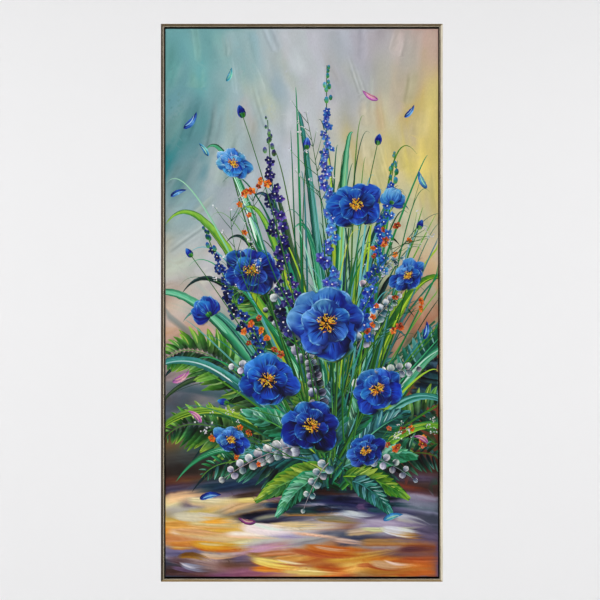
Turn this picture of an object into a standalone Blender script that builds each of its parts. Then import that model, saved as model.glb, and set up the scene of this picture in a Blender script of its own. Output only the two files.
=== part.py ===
# A stretched canvas painting in a slim floater frame, hung flat on a wall.
#
# The painting faces -Y, +Z is up and the wall is the plane y = 0. The origin is the middle of
# the top rail's back face. A rail or bar is drawn in its own frame: x along it, its outer edge
# at z = 0 with the picture below, its back at y = 0 and its front towards -Y.

import math

import bmesh
import bpy
from mathutils import Vector

# Painting, in metres
CANVAS_WIDTH = 0.598
CANVAS_HEIGHT = 1.200
CLOTH = 0.0008  # primed cloth with its paint
TURNOVER = 0.030  # how far the cloth reaches in over the backs of the bars
CLOTH_ROUND = 0.0015  # radius of the cloth's fold round the bars' front edges

# Floater frame
FRAME_DEPTH = 0.035
FACE_WIDTH = 0.0075  # what shows of a rail from the front
SIDE_GAP = 0.0023  # open channel between a side rail and the canvas
END_GAP = 0.0036  # the same channel at the top and bottom rails
LEDGE_DEPTH = 0.008  # back ledge that the canvas is screwed to
LEDGE_REACH = 0.0183  # how far the ledge runs in past the face
CHAMFER = 0.0050  # outer band of the face, a 45 degree chamfer
EASE = 0.0004  # soft corners of the moulding
LEDGE_EASE = 0.0006

# Stretcher
BAR_WIDTH = 0.038
BAR_DEPTH = 0.0208
BAR_ROUND = 0.0015  # outer front edge, which the cloth is pulled over
BAR_LIP = 0.006  # width of the raised front edge
BAR_FALL = 0.0035  # how far the front slopes back from the lip
BRACE_DEPTH = 0.015
TENON = (0.012, 0.007, 0.024)  # length, thickness and height
KEY = (0.032, 0.003, 0.012)  # length, thickness and height at the thick end
KEY_TIP = 0.004  # height at the thin end
KEY_SEAT = 0.010  # how far a key is driven into its slot

# Screws through the ledge, and the hangers on the top bar
SCREW_INSET = 0.019  # from the rail's outer edge
SCREW_ACROSS = 0.180  # along the top and bottom rails, each side of the middle
SCREW_UP = 0.400  # along the side rails, above and below the one at the middle
SCREW_LENGTH = 0.022
SCREW_HEAD = 0.0038
SCREW_SHANK = 0.0018
SCREW_TIP = 0.0004
RECESS = (0.0040, 0.0010, 0.0012)  # length, width and depth of each stroke of the cross
HANGER_SPACING = 0.300
HANGER = (0.045, 0.009, 0.0008)  # length, height and thickness of metal
HANGER_RISE = 0.0013  # how far its toothed middle stands off
HANGER_MIDDLE = 0.030
HANGER_JOGGLE = 0.001  # length of the bend at each end of the middle
HANGER_INSET = 0.032  # centre, from the rail's outer edge
TEETH = 9
TOOTH_HEIGHT = 0.002
NAIL_SPREAD = 0.019
NAIL_HEAD = 0.0018
NAIL_SHANK = 0.00075
NAIL_LENGTH = 0.0105

GAP = 0.0003  # between pieces that touch
TURNS = 12  # sides of a round piece
OVERSHOOT = 0.001  # how far a cutter runs out past the face it opens

FRAME_WIDTH = CANVAS_WIDTH + 2 * (FACE_WIDTH + SIDE_GAP)
FRAME_HEIGHT = CANVAS_HEIGHT + 2 * (FACE_WIDTH + END_GAP)
LEDGE_INNER = FACE_WIDTH + LEDGE_REACH
TOP = LEDGE_INNER / 2
MIDDLE = TOP - FRAME_HEIGHT / 2
BACK = LEDGE_DEPTH + GAP  # depth of the cloth's back
BAR_BACK = BACK + CLOTH + GAP
BAR_FRONT = BAR_BACK + BAR_DEPTH
CANVAS_FRONT = BAR_FRONT + GAP + CLOTH
BAR_INSET = CLOTH + GAP  # from the cloth's edge to the bars
STRETCHER_WIDTH = CANVAS_WIDTH - 2 * BAR_INSET
STRETCHER_HEIGHT = CANVAS_HEIGHT - 2 * BAR_INSET
BAY_HALF = STRETCHER_WIDTH / 2 - BAR_WIDTH

for old in list(bpy.data.objects):
    bpy.data.objects.remove(old, do_unlink=True)

painting = bpy.data.objects.new("painting", None)
bpy.context.scene.collection.objects.link(painting)


def material(name, color, roughness, metallic=0.0):
    made = bpy.data.materials.new(name)
    made.use_nodes = True
    shader = made.node_tree.nodes["Principled BSDF"]
    shader.inputs["Base Color"].default_value = (*color, 1.0)
    shader.inputs["Roughness"].default_value = roughness
    shader.inputs["Metallic"].default_value = metallic
    return made


champagne = material("champagne_leaf", (0.48, 0.41, 0.31), 0.34, 0.9)
pine = material("stretcher_pine", (0.72, 0.55, 0.36), 0.65)
key_wood = material("key_beech", (0.62, 0.42, 0.26), 0.6)
cloth = material("painted_canvas", (0.62, 0.62, 0.60), 0.55)
zinc = material("zinc_steel", (0.55, 0.54, 0.50), 0.35, 1.0)
brassed = material("brassed_steel", (0.65, 0.50, 0.24), 0.35, 1.0)


def link(name, bm, finish=None):
    bmesh.ops.recalc_face_normals(bm, faces=bm.faces)
    mesh = bpy.data.meshes.new(name)
    bm.to_mesh(mesh)
    bm.free()
    if finish:
        mesh.materials.append(finish)
    made = bpy.data.objects.new(name, mesh)
    bpy.context.scene.collection.objects.link(made)
    made.parent = painting
    return made


def share(name, mesh, location):
    made = bpy.data.objects.new(name, mesh)
    bpy.context.scene.collection.objects.link(made)
    made.parent = painting
    made.location = location


def helper(made):
    made.hide_render = True
    made.display_type = "WIRE"
    return made


def loft(bm, loops):
    """Skins closed loops of points, each as long as the next, and caps both ends."""
    rings = [[bm.verts.new(point) for point in loop] for loop in loops]
    for first, second in zip(rings, rings[1:]):
        for i, corner in enumerate(first):
            j = (i + 1) % len(first)
            bm.faces.new((corner, first[j], second[j], second[i]))
    bm.faces.new(rings[0])
    bm.faces.new(rings[-1])


def block(bm, low, high):
    corners = [(low[0], low[2]), (high[0], low[2]), (high[0], high[2]), (low[0], high[2])]
    loft(bm, [[(x, y, z) for x, z in corners] for y in (low[1], high[1])])


def turned(bm, profile, centre=(0.0, 0.0)):
    """A round piece along Y, from (radius, depth in front of the wall) pairs."""
    angles = [2 * math.pi * i / TURNS for i in range(TURNS)]
    loft(
        bm,
        [
            [(centre[0] + r * math.cos(a), -depth, centre[1] + r * math.sin(a)) for a in angles]
            for r, depth in profile
        ],
    )


def boolean(piece, operation, other):
    step = piece.modifiers.new(other.name, "BOOLEAN")
    step.operation = operation
    step.solver = "EXACT"
    step.object = other


def finished_mesh(blank):
    """The mesh of a hidden blank with its cuts made, for the copies to share."""
    graph = bpy.context.evaluated_depsgraph_get()
    return bpy.data.meshes.new_from_object(blank.evaluated_get(graph))


def mitred(name, profile, length, finish):
    """A straight length whose ends are cut at 45 degrees, from (inward, forward) pairs."""
    clear = GAP / math.sqrt(2)
    bm = bmesh.new()
    ends = [
        [(side * (length / 2 - inward - clear), -forward, -inward) for inward, forward in profile]
        for side in (-1, 1)
    ]
    loft(bm, ends)
    return link(name, bm, finish)


def arc(centre, radius, start, end, steps):
    angles = [math.radians(start + (end - start) * i / steps) for i in range(steps + 1)]
    return [(centre[0] + radius * math.cos(a), centre[1] + radius * math.sin(a)) for a in angles]


def around(width, height):
    """Each side of an upright rectangle: its name, length, turn about Y and outer edge's middle."""
    return [
        ("top", width, 0.0, (0.0, MIDDLE + height / 2)),
        ("right", height, math.pi / 2, (width / 2, MIDDLE)),
        ("bottom", width, math.pi, (0.0, MIDDLE - height / 2)),
        ("left", height, -math.pi / 2, (-width / 2, MIDDLE)),
    ]


def frame_rails():
    slope = EASE * math.sqrt(0.5)
    profile = [
        (0.0, 0.0),
        (0.0, FRAME_DEPTH - CHAMFER - EASE),
        (slope, FRAME_DEPTH - CHAMFER + slope),
        (CHAMFER - slope, FRAME_DEPTH - slope),
        (CHAMFER + EASE, FRAME_DEPTH),
        (FACE_WIDTH - EASE, FRAME_DEPTH),
        (FACE_WIDTH, FRAME_DEPTH - EASE),
        (FACE_WIDTH, LEDGE_DEPTH),
        (LEDGE_INNER - LEDGE_EASE, LEDGE_DEPTH),
        (LEDGE_INNER, LEDGE_DEPTH - LEDGE_EASE),
        (LEDGE_INNER, 0.0),
    ]
    rails = {}
    for side, length, turn, (x, z) in around(FRAME_WIDTH, FRAME_HEIGHT):
        rail = mitred("frame_rail_" + side, profile, length, champagne)
        rail.location = (x, 0.0, z)
        rail.rotation_euler = (0.0, turn, 0.0)
        rails[side] = rail
    return rails


def stretcher_bars():
    profile = [
        (0.0, 0.0),
        *arc((BAR_ROUND, BAR_DEPTH - BAR_ROUND), BAR_ROUND, 180, 90, 3),
        (BAR_LIP, BAR_DEPTH - BAR_ROUND / 2),
        (BAR_WIDTH, BAR_DEPTH - BAR_FALL),
        (BAR_WIDTH, 0.0),
    ]
    bars = {}
    for side, length, turn, (x, z) in around(STRETCHER_WIDTH, STRETCHER_HEIGHT):
        bar = mitred("stretcher_bar_" + side, profile, length, pine)
        bar.location = (x, -BAR_BACK, z)
        bar.rotation_euler = (0.0, turn, 0.0)
        bars[side] = bar
    return bars


def tongue(name, margin):
    """A thin bar through both of the brace's tenons, larger by margin all round."""
    length, thickness, height = TENON
    reach = BAY_HALF + length + margin
    half_thick, half_high = thickness / 2 + margin, height / 2 + margin
    depth = BAR_BACK + BRACE_DEPTH / 2
    bm = bmesh.new()
    block(
        bm,
        (-reach, -depth - half_thick, MIDDLE - half_high),
        (reach, -depth + half_thick, MIDDLE + half_high),
    )
    return helper(link(name, bm))


def cross_brace(bars):
    half = BAY_HALF - GAP
    bm = bmesh.new()
    block(
        bm,
        (-half, -BAR_BACK - BRACE_DEPTH, MIDDLE - BAR_WIDTH / 2),
        (half, -BAR_BACK, MIDDLE + BAR_WIDTH / 2),
    )
    brace = link("stretcher_cross_brace", bm, pine)
    boolean(brace, "UNION", tongue("tenons", 0.0))
    mortises = tongue("mortises", GAP)
    boolean(bars["left"], "DIFFERENCE", mortises)
    boolean(bars["right"], "DIFFERENCE", mortises)


def key_places():
    """Each key's name, the bar whose slot it enters, the inner corner it starts from, the way
    out along the bar it lies against, and the way away from that bar."""
    inner_x, inner_z = BAY_HALF, STRETCHER_HEIGHT / 2 - BAR_WIDTH
    places = []
    for x_side, x_name in ((-1, "left"), (1, "right")):
        for z_side, z_name in ((1, "top"), (-1, "bottom")):
            corner = Vector((x_side * inner_x, 0.0, MIDDLE + z_side * inner_z))
            out_x = Vector((x_side, 0.0, 0.0))
            out_z = Vector((0.0, 0.0, z_side))
            name = "key_" + z_name + "_" + x_name
            places.append((name + "_level", x_name, corner, out_x, -out_z))
            places.append((name + "_upright", z_name, corner, out_z, -out_x))
    return places


def corner_keys(bars):
    length, thickness, height = KEY
    near = BAR_BACK + (BAR_DEPTH - thickness) / 2
    slots = {side: bmesh.new() for side in bars}
    for name, side, corner, out, away in key_places():
        # A level key and an upright key share a corner, one behind the other.
        layer = near + (thickness if name.endswith("level") else -thickness)
        outline = [
            (KEY_SEAT, GAP),
            (KEY_SEAT, GAP + KEY_TIP),
            (KEY_SEAT - length, GAP + height),
            (KEY_SEAT - length, GAP),
        ]
        slot_height = GAP + KEY_TIP + (height - KEY_TIP) * KEY_SEAT / length + GAP
        slot = [(-OVERSHOOT, -OVERSHOOT), (-OVERSHOOT, slot_height)]
        slot += [(KEY_SEAT + GAP, slot_height), (KEY_SEAT + GAP, -OVERSHOOT)]

        def ring(points, depth):
            return [corner + out * a + away * b + Vector((0.0, -depth, 0.0)) for a, b in points]

        bm = bmesh.new()
        loft(bm, [ring(outline, layer), ring(outline, layer + thickness)])
        link(name, bm, key_wood)
        depths = (layer - GAP, layer + thickness + GAP)
        loft(slots[side], [ring(slot, depth) for depth in depths])
    for side, bm in slots.items():
        boolean(bars[side], "DIFFERENCE", helper(link("key_slots_" + side, bm)))


def screw_places():
    x, z = FRAME_WIDTH / 2 - SCREW_INSET, FRAME_HEIGHT / 2 - SCREW_INSET
    places = []
    for name, side in (("top", 1), ("bottom", -1)):
        places += [(name, (step * SCREW_ACROSS, MIDDLE + side * z)) for step in (-1, 1)]
    for name, side in (("left", -1), ("right", 1)):
        places += [(name, (side * x, MIDDLE + step * SCREW_UP)) for step in (-1, 0, 1)]
    return places


def wood_screw_mesh():
    cone = SCREW_HEAD - SCREW_SHANK
    bm = bmesh.new()
    turned(
        bm,
        [
            (SCREW_HEAD, GAP),
            (SCREW_HEAD, 2 * GAP),
            (SCREW_SHANK, 2 * GAP + cone),
            (SCREW_SHANK, SCREW_LENGTH - 2 * cone),
            (SCREW_TIP, SCREW_LENGTH),
        ],
    )
    blank = helper(link("screw_blank", bm, zinc))
    length, width, depth = RECESS
    for half_x, half_z in ((length / 2, width / 2), (width / 2, length / 2)):
        bm = bmesh.new()
        block(bm, (-half_x, -GAP - depth, -half_z), (half_x, OVERSHOOT, half_z))
        boolean(blank, "DIFFERENCE", helper(link("screw_recess", bm)))
    return finished_mesh(blank)


def screws(rails, bars, canvas):
    mesh = wood_screw_mesh()
    cone = SCREW_HEAD - SCREW_SHANK
    holes = {side: bmesh.new() for side in rails}
    every = bmesh.new()
    hole = [
        (SCREW_HEAD + GAP, -OVERSHOOT),
        (SCREW_HEAD + GAP, 2 * GAP),
        (SCREW_SHANK + GAP, 2 * GAP + cone),
        (SCREW_SHANK + GAP, SCREW_LENGTH + GAP),
    ]
    for number, (side, place) in enumerate(screw_places(), 1):
        share(f"frame_screw_{number:02d}", mesh, (place[0], 0.0, place[1]))
        turned(holes[side], hole, place)
        turned(every, hole, place)
    for side, bm in holes.items():
        cutter = helper(link("screw_holes_" + side, bm))
        boolean(rails[side], "DIFFERENCE", cutter)
        boolean(bars[side], "DIFFERENCE", cutter)
    boolean(canvas, "DIFFERENCE", helper(link("screw_holes_cloth", every)))


def stretched_canvas():
    """Cloth as a thin tray: the picture, its four sides and the strip turned over the bars."""
    inner_front = CANVAS_FRONT - CLOTH
    inner_back = BACK + CLOTH
    fold = CLOTH_ROUND - CLOTH / 2
    outside = arc((CLOTH_ROUND, CANVAS_FRONT - CLOTH_ROUND), CLOTH_ROUND, 90, 180, 3)
    loops = [
        *outside,
        (0.0, BACK),
        (TURNOVER, BACK),
        (TURNOVER, inner_back),
        (CLOTH, inner_back),
        *arc((CLOTH + fold, inner_front - fold), fold, 180, 90, 2),
    ]
    bm = bmesh.new()
    rings = []
    for inset, forward in loops:
        x, z = CANVAS_WIDTH / 2 - inset, CANVAS_HEIGHT / 2 - inset
        corners = ((-x, -z), (x, -z), (x, z), (-x, z))
        rings.append([(a, -forward, MIDDLE + b) for a, b in corners])
    loft(bm, rings)
    return link("canvas", bm, cloth)


def hanger_mesh():
    length, height, metal = HANGER
    half, flat = length / 2, HANGER_MIDDLE / 2
    bend = flat + HANGER_JOGGLE
    outer = [(-half, 0.0), (-bend, 0.0), (-flat, HANGER_RISE), (flat, HANGER_RISE)]
    outer += [(bend, 0.0), (half, 0.0)]
    outline = outer + [(x, y - metal) for x, y in reversed(outer)]
    bm = bmesh.new()
    loft(bm, [[(x, y, z) for x, y in outline] for z in (-height / 2, height / 2)])
    blank = helper(link("hanger_blank", bm, brassed))

    bm = bmesh.new()
    pitch = HANGER_MIDDLE / (TEETH + 1)
    base, tip = -height / 2 - OVERSHOOT / 2, -height / 2 + TOOTH_HEIGHT
    for tooth in range(TEETH):
        x = (tooth - (TEETH - 1) / 2) * pitch
        notch = [(x - 0.4 * pitch, base), (x + 0.4 * pitch, base), (x, tip)]
        depths = (-metal - OVERSHOOT, HANGER_RISE + OVERSHOOT)
        loft(bm, [[(a, y, b) for a, b in notch] for y in depths])
    for side in (-1, 1):
        radius = NAIL_SHANK + GAP
        turned(bm, [(radius, -OVERSHOOT), (radius, metal + OVERSHOOT)], (side * NAIL_SPREAD, 0.0))
    boolean(blank, "DIFFERENCE", helper(link("hanger_cutter", bm)))
    return finished_mesh(blank)


def nail_mesh(under_head):
    point = under_head + NAIL_LENGTH
    bm = bmesh.new()
    turned(
        bm,
        [
            (0.6 * NAIL_HEAD, under_head - NAIL_HEAD / 2.5),
            (NAIL_HEAD, under_head - NAIL_HEAD / 5),
            (NAIL_HEAD, under_head),
            (NAIL_SHANK, under_head),
            (NAIL_SHANK, point - 2 * NAIL_SHANK),
            (0.4 * NAIL_SHANK, point),
        ],
    )
    return helper(link("nail_blank", bm, brassed)).data


def hangers(bars, canvas):
    metal = HANGER[2]
    back = BACK - GAP - metal
    plate = hanger_mesh()
    nail = nail_mesh(back - GAP)
    level = TOP - HANGER_INSET
    holes = bmesh.new()
    for side, name in ((-1, "left"), (1, "right")):
        x = side * HANGER_SPACING / 2
        share("hanger_" + name, plate, (x, -back, level))
        for end, which in ((-1, "a"), (1, "b")):
            place = (x + end * NAIL_SPREAD, level)
            share(f"hanger_nail_{name}_{which}", nail, (place[0], 0.0, place[1]))
            radius = NAIL_SHANK + GAP
            turned(holes, [(radius, BACK - OVERSHOOT), (radius, back + NAIL_LENGTH)], place)
    cutter = helper(link("nail_holes", holes))
    boolean(bars["top"], "DIFFERENCE", cutter)
    boolean(canvas, "DIFFERENCE", cutter)


def shade():
    for piece in bpy.data.objects:
        if piece.type == "MESH" and not piece.hide_render:
            piece.data.shade_smooth()
            piece.data.set_sharp_from_angle(angle=math.radians(30))


rails = frame_rails()
bars = stretcher_bars()
canvas = stretched_canvas()
cross_brace(bars)
corner_keys(bars)
screws(rails, bars, canvas)
hangers(bars, canvas)
shade()
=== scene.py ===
import math

import bmesh
import bpy
import numpy as np
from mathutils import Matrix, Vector


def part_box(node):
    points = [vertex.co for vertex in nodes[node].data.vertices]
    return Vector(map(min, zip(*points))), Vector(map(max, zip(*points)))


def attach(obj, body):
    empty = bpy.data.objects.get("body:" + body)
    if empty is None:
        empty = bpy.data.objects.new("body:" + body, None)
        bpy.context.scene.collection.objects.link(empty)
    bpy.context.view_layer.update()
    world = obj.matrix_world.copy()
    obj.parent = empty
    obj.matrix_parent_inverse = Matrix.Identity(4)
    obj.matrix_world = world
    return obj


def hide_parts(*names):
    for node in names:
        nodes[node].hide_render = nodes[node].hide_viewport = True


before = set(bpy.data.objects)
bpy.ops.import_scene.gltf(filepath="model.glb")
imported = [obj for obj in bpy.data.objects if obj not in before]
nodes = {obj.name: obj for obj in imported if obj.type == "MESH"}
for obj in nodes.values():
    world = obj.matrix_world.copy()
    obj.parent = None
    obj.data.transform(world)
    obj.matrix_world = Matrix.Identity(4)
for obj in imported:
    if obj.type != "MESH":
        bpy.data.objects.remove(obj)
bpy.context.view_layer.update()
scene = bpy.context.scene
sides = ("top", "right", "bottom", "left")


def spanOf(*names):
    # lowest and highest corner of a few CAD nodes together
    boxes = [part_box(name) for name in names]
    low = np.min([list(b[0]) for b in boxes], axis=0)
    high = np.max([list(b[1]) for b in boxes], axis=0)
    return low, high


frameLow, frameHigh = spanOf(*["frame_rail_" + side for side in sides])
clothLow, clothHigh = spanOf("canvas")
middle = (frameLow + frameHigh) / 2
print("frame", np.round((frameHigh - frameLow) * 1000, 1), "mm")

# the paints, as they look on a screen
paints = {
    "pearl": "C9CBD2", "lilac": "AEB0BF", "lavender": "9C97B4", "cream": "DDD2B4",
    "butter": "E2CE7A", "lemonade": "EBD46A", "peach": "D9A987", "apricot": "E0A07C",
    "blush": "CFA79B", "rust": "8E4A2E", "umber": "4A2C22", "brick": "A9502E",
    "orange": "D2691E", "amber": "DC9A24", "lemon": "E6C62E", "white": "ECEBE6",
    "silver": "B4B9C0", "slate": "4C5468", "plum": "6E5A7C", "mauve": "A07AA6",
    "orchid": "B44FA6", "mist": "A9C0C4", "aqua": "6FB0B4", "teal": "3A7F86",
    "deepTeal": "1E4E58", "viridian": "1F7A5C", "emerald": "2F9466", "bottle": "12412F",
    "pine": "1C5A3E", "sap": "5E9A3A", "lime": "A6C441", "mint": "8FD0AE",
    "azure": "3F8FD0", "sky": "7FB8DE", "cobalt": "1748B0", "ultramarine": "12298A",
    "navy": "0C1746", "ink": "0A0E22", "violet": "4B3B9A", "primer": "DAD6CB",
}
drying = {"darker": 1.08, "darks": 0.85}  # how much deeper oil dries, in all tones and in the darks


def screen(text):
    return np.array([int(text[i : i + 2], 16) / 255 for i in (0, 2, 4)])


def shade(paint):
    # a paint's name, or a tone that is mixed already
    return screen(paints[paint]) if isinstance(paint, str) else paint


def blendOf(first, second, share):
    return shade(first) * (1 - share) + shade(second) * share


def toLinear(colour):
    c = np.clip(np.asarray(colour, float), 0.0, 1.0)
    return np.where(c <= 0.04045, c / 12.92, ((c + 0.055) / 1.055) ** 2.4)


def tint(text):
    # a screen colour such as "8C8270" as the four numbers that a socket takes
    return (*[float(v) for v in toLinear(screen(text))], 1.0)


def deepened(colour):
    colour = np.clip(colour, 0.0, 1.0) ** drying["darker"]
    return toLinear(colour * (1 - drying["darks"] * (1 - colour) ** 4))


def ease(x):
    x = np.clip(x, 0.0, 1.0)
    return x * x * (3 - 2 * x)


# short ways to build a mesh
def linked(name, data):
    piece = bpy.data.objects.new(name, data)
    scene.collection.objects.link(piece)
    return piece


def meshPiece(name, points, faces, materials, zones=None):
    # one object from numpy points and equal-sided faces
    faces = np.asarray(faces, np.int32)
    mesh = bpy.data.meshes.new(name)
    mesh.vertices.add(len(points))
    mesh.vertices.foreach_set("co", np.asarray(points, np.float32).ravel())
    mesh.loops.add(faces.size)
    mesh.loops.foreach_set("vertex_index", faces.ravel())
    mesh.polygons.add(len(faces))
    mesh.polygons.foreach_set("loop_start", np.arange(len(faces), dtype=np.int32) * faces.shape[1])
    if zones is not None:
        mesh.polygons.foreach_set("material_index", np.asarray(zones, np.int32))
    mesh.polygons.foreach_set("use_smooth", np.full(len(faces), True))
    mesh.update(calc_edges=True)
    mesh.validate()
    for material in materials:
        mesh.materials.append(material)
    return linked(name, mesh)


def gridFaces(number):
    # the squares of a grid whose points have these numbers
    corners = number[:-1, :-1], number[:-1, 1:], number[1:, 1:], number[1:, :-1]
    return np.stack(corners, axis=-1).reshape(-1, 4)


def tubeFaces(rings, around):
    # the squares between closed rings of points that follow each other
    i = np.arange(around)
    j = (i + 1) % around
    strips = [np.stack([i, j, around + j, around + i], axis=1) + k * around for k in range(rings - 1)]
    return np.concatenate(strips)


def rework(piece, change):
    # one change to the mesh of a piece, after which its faces are turned outwards
    mesh = bmesh.new()
    mesh.from_mesh(piece.data)
    mesh.verts.ensure_lookup_table()
    change(mesh)
    bmesh.ops.recalc_face_normals(mesh, faces=mesh.faces)
    mesh.to_mesh(piece.data)
    mesh.free()


def store(piece, name, kind, values):
    attribute = piece.data.attributes.new(name, kind, "POINT")
    field = {"FLOAT": "value", "FLOAT_VECTOR": "vector", "FLOAT_COLOR": "color"}[kind]
    attribute.data.foreach_set(field, np.asarray(values, np.float32).ravel())


def storePaint(piece, colours):
    solid = np.pad(deepened(np.concatenate(colours)), ((0, 0), (0, 1)), constant_values=1)
    store(piece, "paint", "FLOAT_COLOR", solid)


# short ways to build a material
def recipe(name):
    # a material with one shader that nothing is joined to yet
    material = bpy.data.materials.new(name)
    material.use_nodes = True
    tree = material.node_tree
    tree.nodes.clear()
    output = tree.nodes.new("ShaderNodeOutputMaterial")
    shader = tree.nodes.new("ShaderNodeBsdfPrincipled")
    tree.links.new(shader.outputs[0], output.inputs["Surface"])
    return material, tree, shader


def plug(tree, socket, value):
    if hasattr(value, "links"):
        tree.links.new(value, socket)
    else:
        socket.default_value = value


def setUp(tree, node, **inputs):
    for key, value in inputs.items():
        plug(tree, node.inputs[key.replace("_", " ")], value)
    return node


def addNode(tree, kind, settings=None, **inputs):
    node = tree.nodes.new("ShaderNode" + kind)
    for key, value in (settings or {}).items():
        setattr(node, key, value)
    return setUp(tree, node, **inputs)


def stored(tree, name):
    return addNode(tree, "Attribute", {"attribute_name": name})


def maths(tree, operation, a, b=0.0, clamp=False):
    node = addNode(tree, "Math", {"operation": operation, "use_clamp": clamp})
    plug(tree, node.inputs[0], a)
    plug(tree, node.inputs[1], b)
    return node.outputs[0]


def times(tree, a, b, clamp=False):
    return maths(tree, "MULTIPLY", a, b, clamp)


def plus(tree, a, b):
    return maths(tree, "ADD", a, b)


def between(tree, a, b, share):
    gap = maths(tree, "SUBTRACT", b, a)
    return plus(tree, a, times(tree, gap, share))


def mixed(tree, share, a, b, way="MIX"):
    node = addNode(tree, "Mix", {"data_type": "RGBA", "blend_type": way})
    for index, value in ((0, share), (6, a), (7, b)):
        plug(tree, node.inputs[index], value)
    return node.outputs[2]


def ramp(tree, value, low, high, start=0.0, end=1.0, way="SMOOTHSTEP"):
    node = addNode(tree, "MapRange", {"interpolation_type": way})
    for index, number in enumerate((value, low, high, start, end)):
        plug(tree, node.inputs[index], number)
    return node.outputs[0]


def placed(tree, scale=1):
    # places on the object itself, scaled all round or by three numbers
    spot = tree.nodes.new("ShaderNodeTexCoord")
    scale = [float(v) for v in np.broadcast_to(scale, 3)]
    return addNode(tree, "Mapping", Vector=spot.outputs["Object"], Scale=scale).outputs[0]


def noise(tree, scale, detail=3.0, rough=0.55, place=None):
    place = place or placed(tree, scale)
    return addNode(tree, "TexNoise", Vector=place, Scale=1.0, Detail=detail, Roughness=rough).outputs["Fac"]


def bumped(tree, shader, height, distance, strength):
    node = addNode(tree, "Bump", Height=height, Distance=distance, Strength=strength)
    setUp(tree, shader, Normal=node.outputs[0])


# finishes of the frame, the bars and the fittings
leafing = {
    "metal": "AEA48E",
    "glint": "C0B8A5",
    "rub": "8F7C5A",  # where handling has thinned the leaf
    "wood": "6A4A30",  # what shows where an edge is worn through
    "roughness": 0.27,
    "lacquer": 0.45,
    "lacquerRoughness": 0.22,
    "lap": 0.084,  # each sheet of leaf is this long, with a faint overlap
    "lapEdge": 0.0005,
    "grain": {"X": (1, 40, 40), "Z": (40, 40, 1)},  # rubbing marks are this much finer across the rail
    "height": 0.00003,
}
rebate = {"deep": "0F0A07", "pale": "191009", "lint": "3A2B1E", "roughness": 0.72, "height": 0.00008}
timber = {
    "drawn": {"X": (0.07, 1, 1), "Z": (1, 1, 0.07)},  # the grain is stretched along the piece
    "rings": 190,  # yearly rings to a metre
    "slant": 1.7,  # how fast the rings shift through the thickness
    "waver": 0.055,
    "height": 0.00012,
}


def makeLeaf(name, run):
    # metal leaf, rubbed down along the rail
    material, tree, shader = recipe(name)
    grain = np.array(leafing["grain"][run])
    rub = tint(leafing["rub"])
    cloud = noise(tree, 7)
    drag = noise(tree, grain * 22, rough=0.6)
    hair = noise(tree, grain * 90, detail=2.0, rough=0.6)
    fleck = noise(tree, 900, rough=0.7)
    colour = mixed(tree, ramp(tree, cloud, 0.30, 0.70), tint(leafing["metal"]), tint(leafing["glint"]))
    colour = mixed(tree, ramp(tree, drag, 0.50, 0.75, 0.0, 0.26), colour, rub)
    colour = mixed(tree, ramp(tree, fleck, 0.60, 0.76, 0.0, 0.18), colour, rub)
    parts = addNode(tree, "SeparateXYZ", Vector=placed(tree))
    along = plus(tree, parts.outputs[run], times(tree, cloud, 0.004))
    lap = maths(tree, "PINGPONG", along, leafing["lap"] / 2)
    seam = ramp(tree, lap, 0.0, leafing["lapEdge"], 1.0, 0.0)
    colour = mixed(tree, times(tree, seam, 0.25), colour, rub)
    arris = stored(tree, "arris").outputs["Fac"]
    scuff = ramp(tree, noise(tree, 110), 0.60, 0.72)
    worn = times(tree, times(tree, arris, scuff), 0.4, True)
    colour = mixed(tree, worn, colour, tint(leafing["wood"]))
    metal = ramp(tree, worn, 0.0, 1.0, 0.95, 0.35)
    gloss = plus(tree, times(tree, drag, 0.12), leafing["roughness"] - 0.05)
    setUp(tree, shader, Base_Color=colour, Metallic=metal, Roughness=gloss,
          Coat_Weight=leafing["lacquer"], Coat_Roughness=leafing["lacquerRoughness"])
    bumped(tree, shader, plus(tree, times(tree, hair, 0.6), times(tree, seam, 0.5)), leafing["height"], 0.5)
    return material


def makeRebate():
    # the flat black brown inside the frame, with lint and rubbed spots
    material, tree, shader = recipe("rebateBlack")
    cloud, fine = noise(tree, 60, detail=4.0), noise(tree, 700, detail=2.0)
    colour = mixed(tree, ramp(tree, cloud, 0.35, 0.7), tint(rebate["deep"]), tint(rebate["pale"]))
    colour = mixed(tree, ramp(tree, fine, 0.62, 0.8, 0.0, 0.5), colour, tint(rebate["lint"]))
    setUp(tree, shader, Base_Color=colour, Roughness=rebate["roughness"])
    bumped(tree, shader, fine, rebate["height"], 0.5)
    return material


def makeTimber(name, run, pale, dark, knots, size=1.0):
    # softwood whose rings are drawn out along the axis named in run
    material, tree, shader = recipe(name)
    drawn = np.array(timber["drawn"][run])
    warp = noise(tree, drawn * size * 14)
    across = addNode(tree, "SeparateXYZ", Vector=placed(tree, drawn * size))
    level = across.outputs["Z" if run == "X" else "X"]
    deep = times(tree, across.outputs["Y"], timber["slant"])
    rings = plus(tree, plus(tree, level, deep), times(tree, warp, timber["waver"]))
    late = ramp(tree, maths(tree, "FRACT", times(tree, rings, timber["rings"] * size)), 0.45, 0.97)
    colour = mixed(tree, times(tree, late, 0.75), tint(pale), tint(dark))
    pore = noise(tree, drawn * 1500, detail=2.0, rough=0.6)
    colour = mixed(tree, ramp(tree, pore, 0.55, 0.75, 0.0, 0.35), colour, tint(dark))
    colour = mixed(tree, ramp(tree, noise(tree, 6), 0.4, 0.7, 0.0, 0.35), colour, tint(knots))
    setUp(tree, shader, Base_Color=colour, Roughness=ramp(tree, late, 0.0, 1.0, 0.68, 0.55))
    bumped(tree, shader, plus(tree, times(tree, late, 0.5), pore), timber["height"], 0.7)
    return material


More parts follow.
